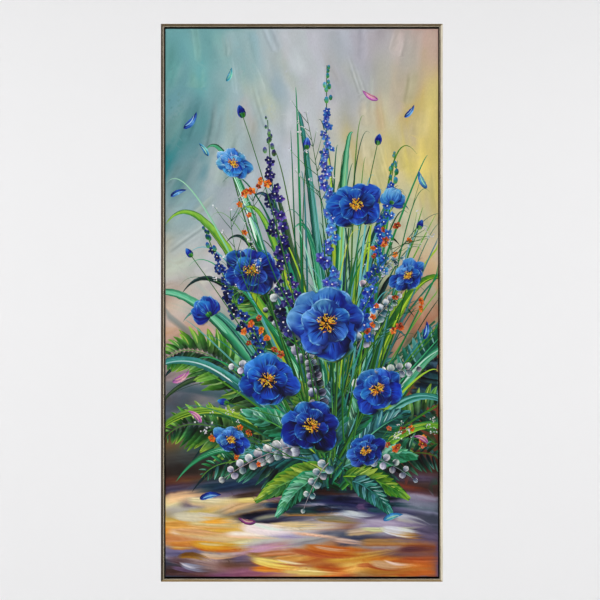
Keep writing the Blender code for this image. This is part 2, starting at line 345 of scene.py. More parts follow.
def makeMetal(name, clean, dull, roughness, spots, spotting=0.6):
    material, tree, shader = recipe(name)
    cloud = noise(tree, 180, detail=4.0, rough=0.6)
    speck = noise(tree, 1400, detail=2.0, rough=0.7)
    colour = mixed(tree, ramp(tree, cloud, 0.35, 0.7), tint(clean), tint(dull))
    colour = mixed(tree, ramp(tree, speck, 0.60, 0.78, 0.0, spotting), colour, tint(spots))
    gloss = ramp(tree, cloud, 0.2, 0.8, roughness, roughness + 0.22)
    setUp(tree, shader, Base_Color=colour, Metallic=1.0, Roughness=gloss)
    bumped(tree, shader, speck, 0.00003, 0.6)
    return material


rebateBlack = makeRebate()
finishes = {
    "leafLevel": makeLeaf("champagneLeafLevel", "X"),
    "leafUpright": makeLeaf("champagneLeafUpright", "Z"),
    "zincPlate": makeMetal("zincPlate", "C8CACB", "94999C", 0.30, "7C7A70"),
    "brassPlate": makeMetal("brassPlate", "D4B26A", "BC9650", 0.28, "7C6338", 0.25),
}
woods = {
    "railTimber": ("C9A87C", "A27C50", "B89064"),
    "pine": ("DDBE8E", "B98A54", "CFA673"),
    "beech": ("CFA57C", "A87850", "BE9068", 2.2),
}
for wood, look in woods.items():
    for way, run in (("Level", "X"), ("Upright", "Z")):
        finishes[wood + way] = makeTimber(wood + way, run, *look)


# the four rails of the frame
moulding = {
    "face": 0.0075,  # width of the leafed face, seen from the front
    "chamfer": 0.0050,
    "ledge": 0.008,  # thickness of the ledge that the bars are screwed to
    "reach": 0.0258,  # the ledge ends this far in from the outer edge
    "ease": 0.0005,  # how far the sharp edges are rubbed back
    "steps": 4,  # of each rounded corner
    "mitreGap": 0.00007,
    "mitreRing": 0.999,  # the leaf lies even from here, as a share of half the rail, to the mitre
    "sections": 36,
    "ripple": 0.000006,  # the leaf lies a little unevenly over the wood
    "turnIn": 0.0012,  # the leaf goes round the inner edge as far as this
    "seeds": {"top": 3, "right": 5, "bottom": 7, "left": 11},
    "sharp": 40,  # degrees
}


def easedOutline(corners, radius):
    # a closed outline with each corner rounded, and a mark on the rounded points
    points, marks, steps = [], [], moulding["steps"]
    for i, r in enumerate(radius):
        before, here, after = (np.array(corners[j % len(corners)], float) for j in (i - 1, i, i + 1))
        intoIt = (before - here) / np.linalg.norm(before - here)
        outOfIt = (after - here) / np.linalg.norm(after - here)
        for k in range(steps + 1):
            s = k / steps
            points.append(here + intoIt * r * (1 - s) ** 2 + outOfIt * r * s**2)
            marks.append(1.0 if 0 < k < steps else 0.4)
    return np.array(points), np.array(marks)


def makeRail(name, side):
    m = moulding
    front, ledge, chamfer = frameLow[1] - frameHigh[1], -m["ledge"], m["chamfer"]
    corners = [(0, 0), (0, front + chamfer), (chamfer, front), (m["face"], front),
               (m["face"], ledge), (m["reach"], ledge), (m["reach"], 0)]
    outline, marks = easedOutline(corners, m["ease"] * np.array([1, 1.2, 1.2, 1.4, 1, 1, 1]))
    ring = len(outline)
    level = side in ("top", "bottom")
    half = (frameHigh[0] - frameLow[0]) / 2 if level else (frameHigh[2] - frameLow[2]) / 2
    draw = np.random.default_rng(m["seeds"][side])
    share = np.linspace(-1, 1, m["sections"] + 1)
    share = np.concatenate([share[:1], [-m["mitreRing"], *share[1:-1], m["mitreRing"]], share[-1:]])
    points = []
    for k, s in enumerate(share):
        inward, deep = outline[:, 0].copy(), outline[:, 1].copy()
        if 0 < k < len(share) - 1:
            waver = draw.normal(0, m["ripple"], ring) * (deep < ledge - 0.002)
            inward = np.maximum(inward + waver, 0.0)
        along = s * (half - inward - m["mitreGap"])
        spot = {
            "top": (middle[0] + along, deep, frameHigh[2] - inward),
            "bottom": (middle[0] - along, deep, frameLow[2] + inward),
            "left": (frameLow[0] + inward, deep, middle[2] + along),
            "right": (frameHigh[0] - inward, deep, middle[2] - along),
        }[side]
        points.append(np.stack([np.broadcast_to(v, ring) for v in spot], axis=1))
    # what each strip of the outline is finished in: 0 leaf, 1 black, 2 bare timber
    slim = 0.0004
    zone = []
    for a, b in zip(outline, np.roll(outline, -1, axis=0)):
        across, deep = (a + b) / 2
        if across > m["face"] - slim and deep > front + m["turnIn"]:
            zone.append(1 if across < m["reach"] - slim and deep < -slim else 2)
        else:
            zone.append(2 if deep > -slim and across > slim else 0)
    run = "Level" if level else "Upright"
    looks = [finishes["leaf" + run], rebateBlack, finishes["railTimber" + run]]
    quads = tubeFaces(len(share), ring)[:, [0, 3, 2, 1]]
    rail = meshPiece(name, np.concatenate(points), quads, looks, np.tile(zone, len(share) - 1))
    store(rail, "arris", "FLOAT", np.tile(marks, len(share)))

    def closeEnds(mesh):
        for start in (0, (len(share) - 1) * ring):
            face = mesh.faces.new([mesh.verts[start + j] for j in range(ring)])
            face.material_index = 2
            face.smooth = False

    rework(rail, closeEnds)
    rail.data.set_sharp_from_angle(angle=math.radians(m["sharp"]))
    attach(rail, "root")
    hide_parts("frame_rail_" + side)
    return rail


rails = [makeRail("floater_rail_" + side, side) for side in sides]
print("rails", sum(len(r.data.polygons) for r in rails), "faces")

# bars, keys, screws and hangers keep their solids, with eased edges
fittings = {  # what the node's name starts with: finish and width of the eased edges
    "stretcher_": ("pine", 0.0008),
    "key_": ("beech", 0.0003),
    "frame_screw": ("zincPlate", 0.00008),
    "hanger_": ("brassPlate", 0.00012),
}
easing = {"weld": 0.00001, "steps": 2, "sharp": 35}


def dress(node, material, width):
    node.data.materials.clear()
    node.data.materials.append(material)
    weld = node.modifiers.new("weld", "WELD")
    weld.merge_threshold = easing["weld"]
    bevel = node.modifiers.new("ease", "BEVEL")
    bevel.width = width
    bevel.segments = easing["steps"]
    bevel.limit_method = "ANGLE"
    bevel.angle_limit = math.radians(easing["sharp"])


for name, node in nodes.items():
    for start, (finish, width) in fittings.items():
        if name.startswith(start):
            if finish + "Level" in finishes:
                finish += "Level" if name.endswith(("top", "bottom", "brace", "level")) else "Upright"
            dress(node, finishes[finish], width)
print("fittings dressed")

# the size and slack of the cloth, which the picture is painted on
cloth = {
    "cell": 0.004,
    "thick": 0.0008,
    "fold": 0.0013,  # how round the cloth goes over the bars' edges
    "turnover": 0.030,
    "cutWaver": 0.0014,  # the cut edge isn't quite straight
    "turns": 7,  # rings of points across the hem
    "backRings": (0.02, 0.06, 0.12, 0.18, 0.24),  # and on the bare back, in from the outline
    "slack": 0.00035,  # the face sinks this much in its loosest places
    "bleed": 0.0035,  # the paint runs at least this far round the edge
    "bleedMore": 0.004,  # and this much further in places
    "bleedSoft": 0.0025,
    "smear": 0.02,  # how uneven the primer is
    "pleat": 0.0005,  # the folded corner stands this proud of the hem
    "pleatWide": 0.040,
    "pleatSoft": 0.008,
    "pleatFrom": 0.017,  # it starts this far in from the outline
    "seed": 29,
    "weld": 0.00001,
}
clothSize = clothHigh - clothLow
clothMiddle = (clothLow + clothHigh) / 2
faceY, backY = clothLow[1], clothHigh[1]
wide, tall = float(clothSize[0]), float(clothSize[2])
clothGaps = int(round(wide / cloth["cell"])), int(round(tall / cloth["cell"]))  # across and up


def slackAt(x, z):
    # how far behind the flat face the cloth lies, from the middle of the picture
    u, v = x / (wide / 2), z / (tall / 2)
    rim = np.clip((1 - u**2) * (1 - v**2), 0, 1)
    roll = 0.5 + 0.25 * np.sin(9 * x + 4 * z + 1) + 0.25 * np.sin(7 * z - 6 * x)
    return cloth["slack"] * np.sqrt(rim) * roll


# brushes, and the marks that are made with them
easel = {
    "seed": 417,
    "cell": 0.0012,  # squares in which the colour and depth laid so far are remembered
    "fullest": 0.0022,  # paint never stands thicker than this
    "ground": 0.00003,  # the first strokes lie this far over the cloth
    "lift": 0.000008,  # each stroke lies at least this far over the one before
    "margin": 0.0007,  # strokes stop this far inside the fold of the cloth
    "thinnest": 0.00016,  # half width of the finest mark
    "fewest": 4,  # steps along the shortest stroke
    "speckle": 0.35,  # share of a brush's unevenness that differs from place to place
}

brushes = {
    # soft: share of the width that fades out; fade: of the length, at the start and the end;
    # most: steps along the longest stroke; rough: how uneven its sides are
    "any": {"soft": 0.0, "fade": (0.0, 0.0), "dry": 0.0, "cover": 1.0, "drag": 0.0, "rough": 0.05,
            "most": 26, "vary": 0.04},
    "wash": {"soft": 0.9, "fade": (0.3, 0.4), "streak": 0.03, "cover": 0.6, "body": 0.00001,
             "across": 5, "step": 0.012, "vary": 0.03, "drag": 0.3},
    "scumble": {"soft": 0.35, "fade": (0.1, 0.35), "streak": 0.09, "dry": 0.45, "cover": 0.75,
                "body": 0.00004, "across": 8, "step": 0.009, "drag": 0.15},
    "flat": {"soft": 0.08, "fade": (0.02, 0.12), "streak": 0.11, "dry": 0.5, "body": 0.00011,
             "across": 9, "step": 0.008, "vary": 0.05, "drag": 0.1},
    "filbert": {"streak": 0.07, "body": 0.00005, "across": 4, "step": 0.007},
    "petal": {"fade": (0.12, 0.0), "streak": 0.08, "body": 0.00005, "across": 4, "step": 0.005,
              "vary": 0.05},
    "dab": {"streak": 0.05, "body": 0.00011, "across": 3, "step": 0.0016, "vary": 0.05},
    "liner": {"streak": 0.03, "body": 0.00004, "across": 2, "step": 0.007},
}

marks = {  # brush, outline and what differs from the brush's own habits
    "airWash": ("wash", "brush", {}),
    "airBold": ("flat", "brush", {"cover": 0.48, "fade": (0.35, 0.6), "soft": 0.85, "streak": 0.03,
                                  "dry": 0.40, "body": 0.00004}),
    "airScumble": ("scumble", "brush", {"cover": 0.34, "dry": 0.6, "soft": 0.7}),
    "groundPull": ("flat", "brush", {"cover": 0.92, "fade": (0.22, 0.6), "streak": 0.045, "dry": 0.35}),
    "groundLoad": ("flat", "brush", {"streak": 0.05, "fade": (0.15, 0.55), "soft": 0.4}),
    "groundKnife": ("flat", "leaf", {"fade": (0.16, 0.5), "streak": 0.035, "dry": 0.45, "cover": 0.95,
                                     "rough": 0.015, "body": 0.00018, "step": 0.005, "most": 44}),
    "groundShade": ("flat", "brush", {"cover": 0.85, "soft": 0.6, "fade": (0.2, 0.5), "streak": 0.05}),
    "clumpShade": ("wash", "brush", {"soft": 0.7, "fade": (0.25, 0.5), "drag": 0.1}),
    "ghost": ("wash", "leaf", {"cover": 0.45, "soft": 0.6, "fade": (0.2, 0.5)}),
    "grass": ("liner", "blade", {"across": 3, "step": 0.012}),
    "strap": ("filbert", "blade", {"across": 5, "step": 0.010, "most": 60}),
    "strapStreak": ("liner", "taper", {"across": 3}),
    "leafBody": ("filbert", "leaf", {"across": 6}),
    "leafPull": ("petal", "leaf", {}),
    "leafGleam": ("liner", "leaf", {"across": 3}),
    "leaflet": ("petal", "leaf", {"across": 3}),
    "rib": ("liner", "taper", {}),
    "stem": ("liner", "thread", {"across": 3}),
    "twig": ("liner", "thread", {}),
    "petalShade": ("wash", "petal", {"cover": 0.72, "soft": 0.35, "fade": (0.1, 0.16), "across": 8,
                                     "drag": 0}),
    "petalBody": ("petal", "petal", {"across": 9, "fade": (0, 0), "streak": 0.055, "rough": 0.07}),
    "petalVein": ("liner", "leaf", {"across": 4, "step": 0.006, "soft": 0.6, "fade": (0.2, 0.35),
                                    "cover": 0.85}),
    "petalRim": ("dab", "leaf", {"step": 0.004, "vary": 0.03}),
    "stamen": ("liner", "brush", {}),
    "dot": ("dab", "oval", {}),
    "budPetal": ("petal", "leaf", {"step": 0.003}),
    "budLeaf": ("petal", "leaf", {"step": 0.002}),
    "coinShade": ("wash", "oval", {"cover": 0.6, "soft": 0.3, "fade": (0.1, 0.1), "across": 6, "drag": 0}),
    "coin": ("petal", "oval", {"across": 6, "fade": (0, 0), "step": 0.002}),
    "coinRim": ("liner", "oval", {}),
    "floret": ("petal", "petal", {"across": 3, "step": 0.002}),
    "blossom": ("petal", "petal", {"step": 0.0016}),
    "driftBody": ("petal", "leaf", {"across": 6, "step": 0.0025, "fade": (0, 0)}),
    "driftGleam": ("liner", "leaf", {"across": 3, "step": 0.003}),
}

outlines = {  # half width along a stroke, as a share of its widest
    "brush": lambda s: np.minimum(1.0, np.minimum(np.sqrt(s / 0.05), np.sqrt((1 - s) / 0.08))),
    "leaf": lambda s: np.maximum(np.sin(np.pi * s**0.7), 0.0) ** 0.75,
    "blade": lambda s: np.maximum(np.sin(np.pi * (0.12 + 0.88 * s) ** 0.8), 0.0) ** 0.7,
    "petal": lambda s: np.maximum(np.sin(np.pi * (0.04 + 0.96 * s) ** 1.35), 0.0) ** 0.65,
    "taper": lambda s: np.minimum(1.0, np.sqrt(s / 0.06)) * (1 - s) ** 0.75,
    "thread": lambda s: 1 - 0.6 * s,
    "oval": lambda s: np.sqrt(np.clip(1 - (2 * s - 1) ** 2, 0, 1)),
}

# what lies on the cloth so far, square by square, and the strokes of each layer
rng = np.random.default_rng(easel["seed"])
columns = int(wide / easel["cell"]) + 1
rows = int(tall / easel["cell"]) + 1
wetColour = np.zeros((rows, columns, 3))
paintDepth = np.zeros((rows, columns))
layers = {}
stretches = {}


def curve(points, count):
    # places along a smooth bend from its few guide points
    s = np.linspace(0, 1, count + 1)[:, None]
    run = [np.asarray(p, float)[None, :] for p in points]
    while len(run) > 1:
        run = [a * (1 - s) + b * s for a, b in zip(run, run[1:])]
    return run[0]


def onGuide(guide, s):
    # the place and the way forward at a share of a bend
    run = [np.asarray(p, float) for p in guide]
    while len(run) > 2:
        run = [p * (1 - s) + q * s for p, q in zip(run, run[1:])]
    lead = run[1] - run[0]
    return run[0] * (1 - s) + run[1] * s, lead / (np.linalg.norm(lead) + 1e-9)


def through(a, b, c):
    # guide points of the bend that passes through three places
    return [a, 2 * b - (a + c) / 2, c]


def stretch(count, finer):
    # weights that turn count + 1 values into count * finer + 1, in straight steps
    if (count, finer) not in stretches:
        at = np.arange(count * finer + 1) / finer
        low = np.minimum(at.astype(int), count - 1)
        weights = np.zeros((len(at), count + 1))
        weights[np.arange(len(at)), low] = 1 - (at - low)
        weights[np.arange(len(at)), low + 1] += at - low
        stretches[count, finer] = weights
    return stretches[count, finer]


def cellsUnder(x, z):
    col = np.clip(((x + wide / 2) / easel["cell"]).round().astype(int), 0, columns - 1)
    row = np.clip(((z + tall / 2) / easel["cell"]).round().astype(int), 0, rows - 1)
    return row, col


def spreadTones(tones, along, across):
    # a few tones, as rows along by columns across, eased over the whole stroke
    rows = [row if isinstance(row, (list, tuple)) else [row] for row in tones]
    tones = np.asarray([[shade(c) for c in row] for row in rows])
    for axis, count in ((0, along), (1, across)):
        if tones.shape[axis] > 1:
            a = np.linspace(0, tones.shape[axis] - 1, count + 1)
            low = np.minimum(a.astype(int), tones.shape[axis] - 2)
            part = (a - low).reshape((-1, 1, 1) if axis == 0 else (1, -1, 1))
            tones = np.take(tones, low, axis) * (1 - part) + np.take(tones, low + 1, axis) * part
    return np.broadcast_to(tones, (along + 1, across + 1, 3)).copy()


def strokePlaces(guide, half, touch, along, s, t):
    # a grid of places, s along the bend by t across it, with sides that aren't quite even
    line = curve(guide, along)
    lead = np.gradient(line, axis=0)
    lead /= np.linalg.norm(lead, axis=1)[:, None] + 1e-9
    side = np.stack([lead[:, 1], -lead[:, 0]], axis=1)
    width = np.maximum(half * outlines[touch["outline"]](s), easel["thinnest"])
    rough = rng.normal(0, touch["rough"], (2, along + 1))
    away = width[:, None] * t * (1 + np.where(t > 0, rough[0][:, None], rough[1][:, None]))
    return line[:, :1] + side[:, :1] * away, line[:, 1:] + side[:, 1:] * away


def strokeColour(tones, touch, under, s, t):
    # tones that differ from bristle to bristle, over what they pick up and let through
    tones += rng.normal(0, touch["vary"], 3) * easel["speckle"] + rng.normal(0, touch["vary"])
    bristle = rng.normal(0, 1, len(t))
    tones += (bristle * touch["streak"])[None, :, None]
    tones += rng.normal(0, touch["streak"] * easel["speckle"], (len(s), len(t), 1))
    if touch["drag"]:
        tones += (under[0] - tones) * touch["drag"] * (1 - s)[:, None, None]
    cover = np.full((len(s), len(t)), touch["cover"])
    if touch["soft"]:
        cover *= ease((1 - np.abs(t)) / touch["soft"])[None, :]
    begin, stop = touch["fade"]
    if begin:
        cover *= ease(s / begin)[:, None]
    if stop:
        ends = 1 - 0.5 * stop * rng.random(len(t))
        cover *= ease((ends[None, :] - s[:, None]) / stop)
    if touch["dry"]:
        left = 1.15 - touch["dry"] * s**1.5
        cover *= ease((left[:, None] - rng.random(len(t))[None, :]) * 3 + 0.4)
    return under + (tones - under) * cover[..., None], cover, bristle


def layStroke(layer, guide, half, tones, mark, **changes):
    # one brush stroke from its guide points, half width and tones
    brush, outline, habits = marks[mark]
    touch = {**brushes["any"], **brushes[brush], "outline": outline, **habits, **changes}
    guide = np.asarray(guide, float)
    length = np.linalg.norm(np.diff(guide, axis=0), axis=1).sum()
    along = int(np.clip(round(length / touch["step"]), easel["fewest"], touch["most"]))
    across = touch["across"]
    s = np.linspace(0, 1, along + 1)
    t = np.linspace(-1, 1, across + 1)
    x, z = strokePlaces(guide, half, touch, along, s, t)
    limitX, limitZ = wide / 2 - easel["margin"], tall / 2 - easel["margin"]
    inside = (np.abs(x) < limitX) & (np.abs(z) < limitZ)
    if not inside.any():
        return
    x, z = np.clip(x, -limitX, limitX), np.clip(z, -limitZ, limitZ)
    tones = spreadTones(tones, along, across)
    colour, cover, bristle = strokeColour(tones, touch, wetColour[cellsUnder(x, z)], s, t)

    # the stroke rests on the thickest paint near it, so nothing older shows through
    fineA = max(1, int(math.ceil(length / along / easel["cell"])))
    fineB = max(1, int(math.ceil(2 * half / across / easel["cell"])))
    spread, reach = stretch(along, fineA), stretch(across, fineB).T
    cells = cellsUnder(spread @ x @ reach, spread @ z @ reach)
    beneath = paintDepth[cells]
    block = beneath[:-1, :-1].reshape(along, fineA, across, fineB).max(axis=(1, 3))
    block = np.pad(block, 1, mode="edge")
    rest = np.max([block[:-1, :-1], block[1:, :-1], block[:-1, 1:], block[1:, 1:]], axis=0)
    dome = (1 - 0.85 * t**4) * (0.8 + 0.2 * np.clip(bristle, -1, 1))
    room = np.clip(1 - rest / easel["fullest"], 0, 1)
    depth = rest + room * (easel["lift"] + touch["body"] * cover * dome[None, :])
    paintDepth[cells] = np.maximum(beneath, spread @ depth @ reach)
    wetColour[cells] = (spread @ colour.transpose(2, 0, 1) @ reach).transpose(1, 2, 0)
    if layer:
        layers.setdefault(layer, []).append((x, z, depth, colour, cover, inside, length))


def pick(names):
    names = names.split() if isinstance(names, str) else names
    return names[rng.integers(len(names))]


def spotIn(left, right, low, high):
    return np.array([rng.uniform(left, right), rng.uniform(low, high)])


def towards(angle):
    return np.array([math.cos(angle), math.sin(angle)])


def beside(lead):
    # a quarter turn to the right of a way forward
    return np.array([lead[1], -lead[0]])


def angleOf(lead):
    return math.atan2(lead[1], lead[0])


upright = 1.57  # radians
anyTurn = 6.28
fifth = 1.2566  # between the petals of a small flower

# the soft colours behind the plants
air = {
    "patches": [  # across, up, spread across, spread up, paint
        (-0.25, 0.53, 0.16, 0.15, "aqua"), (-0.31, 0.34, 0.12, 0.16, "teal"),
        (-0.12, 0.44, 0.10, 0.12, "mist"), (-0.03, 0.60, 0.14, 0.10, "pearl"),
        (0.13, 0.52, 0.13, 0.14, "lilac"), (0.28, 0.58, 0.10, 0.10, "blush"),
        (0.27, 0.37, 0.12, 0.15, "lemonade"), (0.17, 0.30, 0.09, 0.11, "butter"),
        (0.02, 0.32, 0.10, 0.12, "pearl"), (-0.20, 0.18, 0.10, 0.10, "mist"),
        (-0.29, 0.06, 0.10, 0.10, "cream"), (-0.10, 0.10, 0.12, 0.14, "lilac"),
        (0.25, 0.17, 0.09, 0.10, "cream"), (0.14, 0.10, 0.10, 0.12, "mint"),
        (0.29, 0.02, 0.12, 0.11, "apricot"), (0.25, -0.12, 0.12, 0.10, "brick"),
        (0.30, -0.26, 0.10, 0.10, "rust"), (-0.28, -0.07, 0.12, 0.10, "apricot"),
        (-0.18, -0.14, 0.10, 0.10, "lavender"), (-0.28, -0.22, 0.10, 0.08, "slate"),
        (-0.10, -0.26, 0.10, 0.08, "teal"), (0.03, -0.12, 0.12, 0.12, "teal"),
        (0.10, -0.30, 0.12, 0.08, "umber"), (-0.24, -0.34, 0.10, 0.06, "umber"),
        (-0.06, -0.36, 0.10, 0.06, "deepTeal"), (0.22, -0.38, 0.10, 0.05, "umber"),
        (-0.22, -0.45, 0.12, 0.04, "amber"), (0.00, -0.45, 0.12, 0.04, "cream"),
        (0.22, -0.45, 0.12, 0.04, "slate"), (-0.20, -0.55, 0.12, 0.05, "slate"),
        (0.02, -0.56, 0.12, 0.05, "orange"), (0.24, -0.56, 0.12, 0.05, "plum"),
    ],
    "muted": 0.26,  # share of grey in every tone, as in distant air
    # how many strokes, and where: left, right, low, high
    "washes": (560, (-0.32, 0.32, -0.42, 0.62)),
    "bold": (110, (-0.31, 0.31, -0.34, 0.56)),
    "scumbles": (90, (-0.30, 0.30, -0.36, 0.60)),
}
airTable = np.array([p[:4] for p in air["patches"]])
airTones = np.array([
    blendOf(p[4], np.full(3, shade(p[4]).mean()), air["muted"]) for p in air["patches"]
])


def airColour(place, sharp=1.25):
    gapX = (np.asarray(place[0])[..., None] - airTable[:, 0]) / airTable[:, 2]
    gapZ = (np.asarray(place[1])[..., None] - airTable[:, 1]) / airTable[:, 3]
    weight = np.exp(-sharp * (gapX**2 + gapZ**2)) + 1e-7
    return (weight @ airTones) / weight.sum(axis=-1, keepdims=True)


def primeGround():
    # the first colours, before any stroke
    gridX = np.linspace(-wide / 2, wide / 2, columns)
    gridZ = np.linspace(-tall / 2, tall / 2, rows)
    x, z = np.meshgrid(gridX, gridZ)
    warpX = 0.03 * np.sin(9 * z + 5 * x) + 0.02 * np.sin(17 * x - 11 * z + 2)
    warpZ = 0.03 * np.sin(8 * x - 6 * z + 1) + 0.015 * np.sin(23 * x + 13 * z)
    wetColour[:] = airColour((x + warpX, z + warpZ))


def leanAt(place, unsteady):
    # the way the background brushwork runs at a place
    x, z = place
    steep = 0.35 if z < -0.27 else 1.0
    return math.radians(64 + 40 * math.sin(3.1 * z + 4 * x)) * steep + rng.normal(0, unsteady)


def washAir():
    count, where = air["washes"]
    for i in range(count):
        big = 1 - i / count
        here = spotIn(*where)
        lean = leanAt(here, 0.22)
        reach = towards(lean) * (rng.uniform(0.08, 0.17) + 0.10 * big) / 2
        bow = rng.normal(0, 0.018)
        off = rng.normal(0, 0.030 + 0.03 * big, 2)
        tone, farTone = airColour(here + off, 1.6), airColour(here + reach * 2 + off, 1.6)
        if rng.random() < 0.14:
            tone = blendOf(tone, pick("white cream sky peach mist butter"), 0.4)
        bend = here + towards(lean + upright) * bow
        layStroke(None, [here - reach, bend, here + reach], rng.uniform(0.014, 0.022) + 0.020 * big,
                  [[tone, tone, farTone]], "airWash", soft=rng.uniform(0.25, 0.9))


def boldAir():
    # fewer, fuller strokes over the washes, left standing proud
    count, where = air["bold"]
    for i in range(count):
        here = spotIn(*where)
        reach = towards(leanAt(here, 0.18)) * rng.uniform(0.035, 0.10)
        near = airColour(here, 2.2)
        tone = near + (near - near.mean()) * rng.uniform(0.1, 0.6) + rng.normal(0, 0.02)
        if rng.random() < 0.3:
            tone = blendOf(tone, pick("white cream butter aqua peach amber"), 0.35)
        layStroke("air", [here - reach, here + rng.normal(0, 0.008, 2), here + reach],
                  rng.uniform(0.014, 0.030), [tone], "airBold")
    count, where = air["scumbles"]
    for i in range(count):
        here = spotIn(*where)
        reach = towards(leanAt(here, 0.10)) * rng.uniform(0.03, 0.075)
        tone = blendOf(airColour(here), pick("white cream mist peach lilac aqua butter"), 0.25)
        layStroke("air", [here - reach, here + rng.normal(0, 0.006, 2), here + reach],
                  rng.uniform(0.012, 0.026), [tone], "airScumble")


# the ground they stand on
ground = {
    "bands": [  # across, up, paints
        (-0.26, -0.40, "umber rust slate plum"), (-0.12, -0.40, "deepTeal slate umber plum"),
        (0.05, -0.40, "ink navy bottle deepTeal"), (0.18, -0.40, "ink umber deepTeal plum"),
        (0.28, -0.40, "umber brick plum slate"),
        (-0.25, -0.45, "amber orange butter peach"), (-0.10, -0.45, "cream white butter amber"),
        (0.05, -0.45, "slate deepTeal navy lavender"), (0.17, -0.45, "slate navy plum silver"),
        (0.28, -0.45, "slate plum lavender silver"),
        (-0.25, -0.505, "orange amber peach white"), (-0.10, -0.505, "butter amber white cream"),
        (0.04, -0.505, "white silver pearl cream"), (0.17, -0.505, "silver lavender pearl slate"),
        (0.28, -0.505, "lavender mauve slate silver"),
        (-0.25, -0.565, "slate plum silver umber"), (-0.10, -0.565, "plum slate mauve silver"),
        (0.04, -0.565, "orange amber brick peach"), (0.17, -0.565, "amber orange butter brick"),
        (0.28, -0.565, "orange brick plum amber"),
    ],
    "broad": 190,
    "loaded": 34,
    "knifed": [  # across, up, length, half width, tilt, paint, rim
        (-0.195, -0.468, 0.150, 0.0125, 0.05, "cream", "amber"),
        (-0.060, -0.497, 0.190, 0.0150, -0.04, "white", "lavender"),
        (0.135, -0.463, 0.110, 0.0090, 0.03, "silver", "slate"),
        (0.225, -0.502, 0.120, 0.0120, -0.08, "white", "amber"),
        (-0.185, -0.532, 0.170, 0.0120, 0.06, "amber", "orange"),
        (0.070, -0.543, 0.210, 0.0135, 0.02, "orange", "brick"),
        (-0.035, -0.572, 0.160, 0.0105, -0.05, "lemonade", "orange"),
        (0.205, -0.574, 0.130, 0.0105, 0.04, "peach", "brick"),
        (-0.235, -0.580, 0.100, 0.0090, -0.03, "lavender", "plum"),
    ],
    "passes": [  # of the knife: drop, width and length as shares, tone, edge, share of the main paint
        (0.50, 0.70, 1.0, "rim", 0.45, 0.0),
        (0.0, 0.95, 0.92, "paint", 0.28, 0.0),
        (-0.30, 0.40, 0.55, "white", 0.8, 0.4),
    ],
}


def groundTone(x, z):
    near = min(ground["bands"], key=lambda b: (b[0] - x) ** 2 + ((b[1] - z) * 2.6) ** 2)
    return shade(pick(near[2]))


def dragGround():
    for i in range(ground["broad"]):
        big = 1 - i / ground["broad"]
        z = -0.388 - 0.22 * rng.random()
        x = rng.uniform(-0.31, 0.31)
        long = rng.uniform(0.11, 0.24) + 0.16 * big
        tilt = 0.15 * math.sin(7 * x + 9 * z) + rng.normal(0.0, 0.04)
        near = x + rng.normal(0, 0.02)
        tone = groundTone(near, z)
        reach = towards(tilt) * long / 2
        here = np.array([x, z])
        farTone = blendOf(tone, groundTone(near + reach[0], z), 0.55)
        half = rng.uniform(0.006, 0.015) + 0.013 * big
        layStroke("ground", [here - reach, here + [0, rng.normal(0, 0.010)], here + reach], half,
                  [[tone, farTone], [farTone, tone]], "groundPull",
                  outline=pick("leaf blade brush"), soft=rng.uniform(0.35, 0.95))
    for i in range(ground["loaded"]):
        x, z = rng.uniform(-0.28, 0.28), -0.43 - 0.155 * rng.random()
        long = rng.uniform(0.07, 0.23)
        tone = blendOf(groundTone(x, z), pick("white cream butter peach amber"), 0.5)
        rim = blendOf(tone, pick("amber orange butter brick"), rng.uniform(0.2, 0.7))
        bend = [x, z + rng.normal(0, 0.012)]
        layStroke("ground", [(x - long / 2, z), bend, (x + long / 2, z + rng.normal(0, 0.010))],
                  rng.uniform(0.004, 0.012), [[tone, tone, rim]], "groundLoad", outline=pick("leaf blade"))


def knifeGround():
    # fuller paint pulled with a knife, with a line of the next colour caught under its lower edge
    keptDraws = rng.bit_generator.state  # the plants painted after it draw from here again
    for x, z, long, half, tilt, paint, rim in ground["knifed"]:
        reach = towards(tilt) * long / 2
        for drop, thick, share, which, soft, mixedIn in ground["passes"]:
            here = np.array([x + rng.normal(0, 0.010), z - drop * half])
            mix = blendOf({"rim": rim, "paint": paint}.get(which, which), paint, mixedIn)
            sway = [0, rng.uniform(0.3, 1.1) * half]
            tones = [[mix, blendOf(mix, "white", 0.10), mix], [mix] * 3, [blendOf(mix, rim, 0.25)] * 3]
            pull = [here - reach * share + sway, here + reach * 0.1 - sway, here + reach * share]
            layStroke("ground", pull, half * thick, tones, "groundKnife", soft=soft)
    rng.bit_generator.state = keptDraws


# grasses, ferns and leaves
clump = {
    "foot": (0.075, -0.405),
    "heart": (0.055, -0.235),  # the dark middle
    "reach": 0.17,  # how far the darkness goes
    "ghosts": 22,
    "shadows": 120,
    "fallen": 34,  # strokes of the shade that it throws on the ground
    "veins": 11,  # on each side of a broad leaf
}
sunny = np.array([-0.55, 0.83])  # the way towards the light, across and up
sunnyHigh = np.array([-0.5, 0.86])  # and for the leaflets of a fern


def sunk(tone, place, amount):
    # a tone made darker and cooler the nearer it lies to the middle of the clump
    across, up = place[0] - clump["heart"][0], (place[1] - clump["heart"][1]) * 0.8
    return blendOf(tone, "ink", amount * math.exp(-(across**2 + up**2) / clump["reach"] ** 2))


def rootAt(jitter=0.05):
    return np.array(clump["foot"]) + [rng.normal(0, jitter * 0.6), rng.uniform(-0.01, 0.03)]


def veil():
    # soft ghosts of leaves behind the clump
    for i in range(clump["ghosts"]):
        lean = rng.uniform(0.5, 2.75)
        foot = np.array(clump["foot"]) + [rng.normal(0, 0.06), rng.uniform(0, 0.12)]
        long = rng.uniform(0.30, 0.75)
        bend = foot + towards(lean) * long * 0.55 + [0, 0.08]
        tip = foot + towards(lean + rng.normal(0, 0.25)) * long
        tone = pick("teal aqua sap mint viridian deepTeal mist")
        layStroke("veil", [foot, bend, tip], rng.uniform(0.010, 0.026),
                  [[tone, blendOf(tone, "mist", 0.4)]], "ghost")


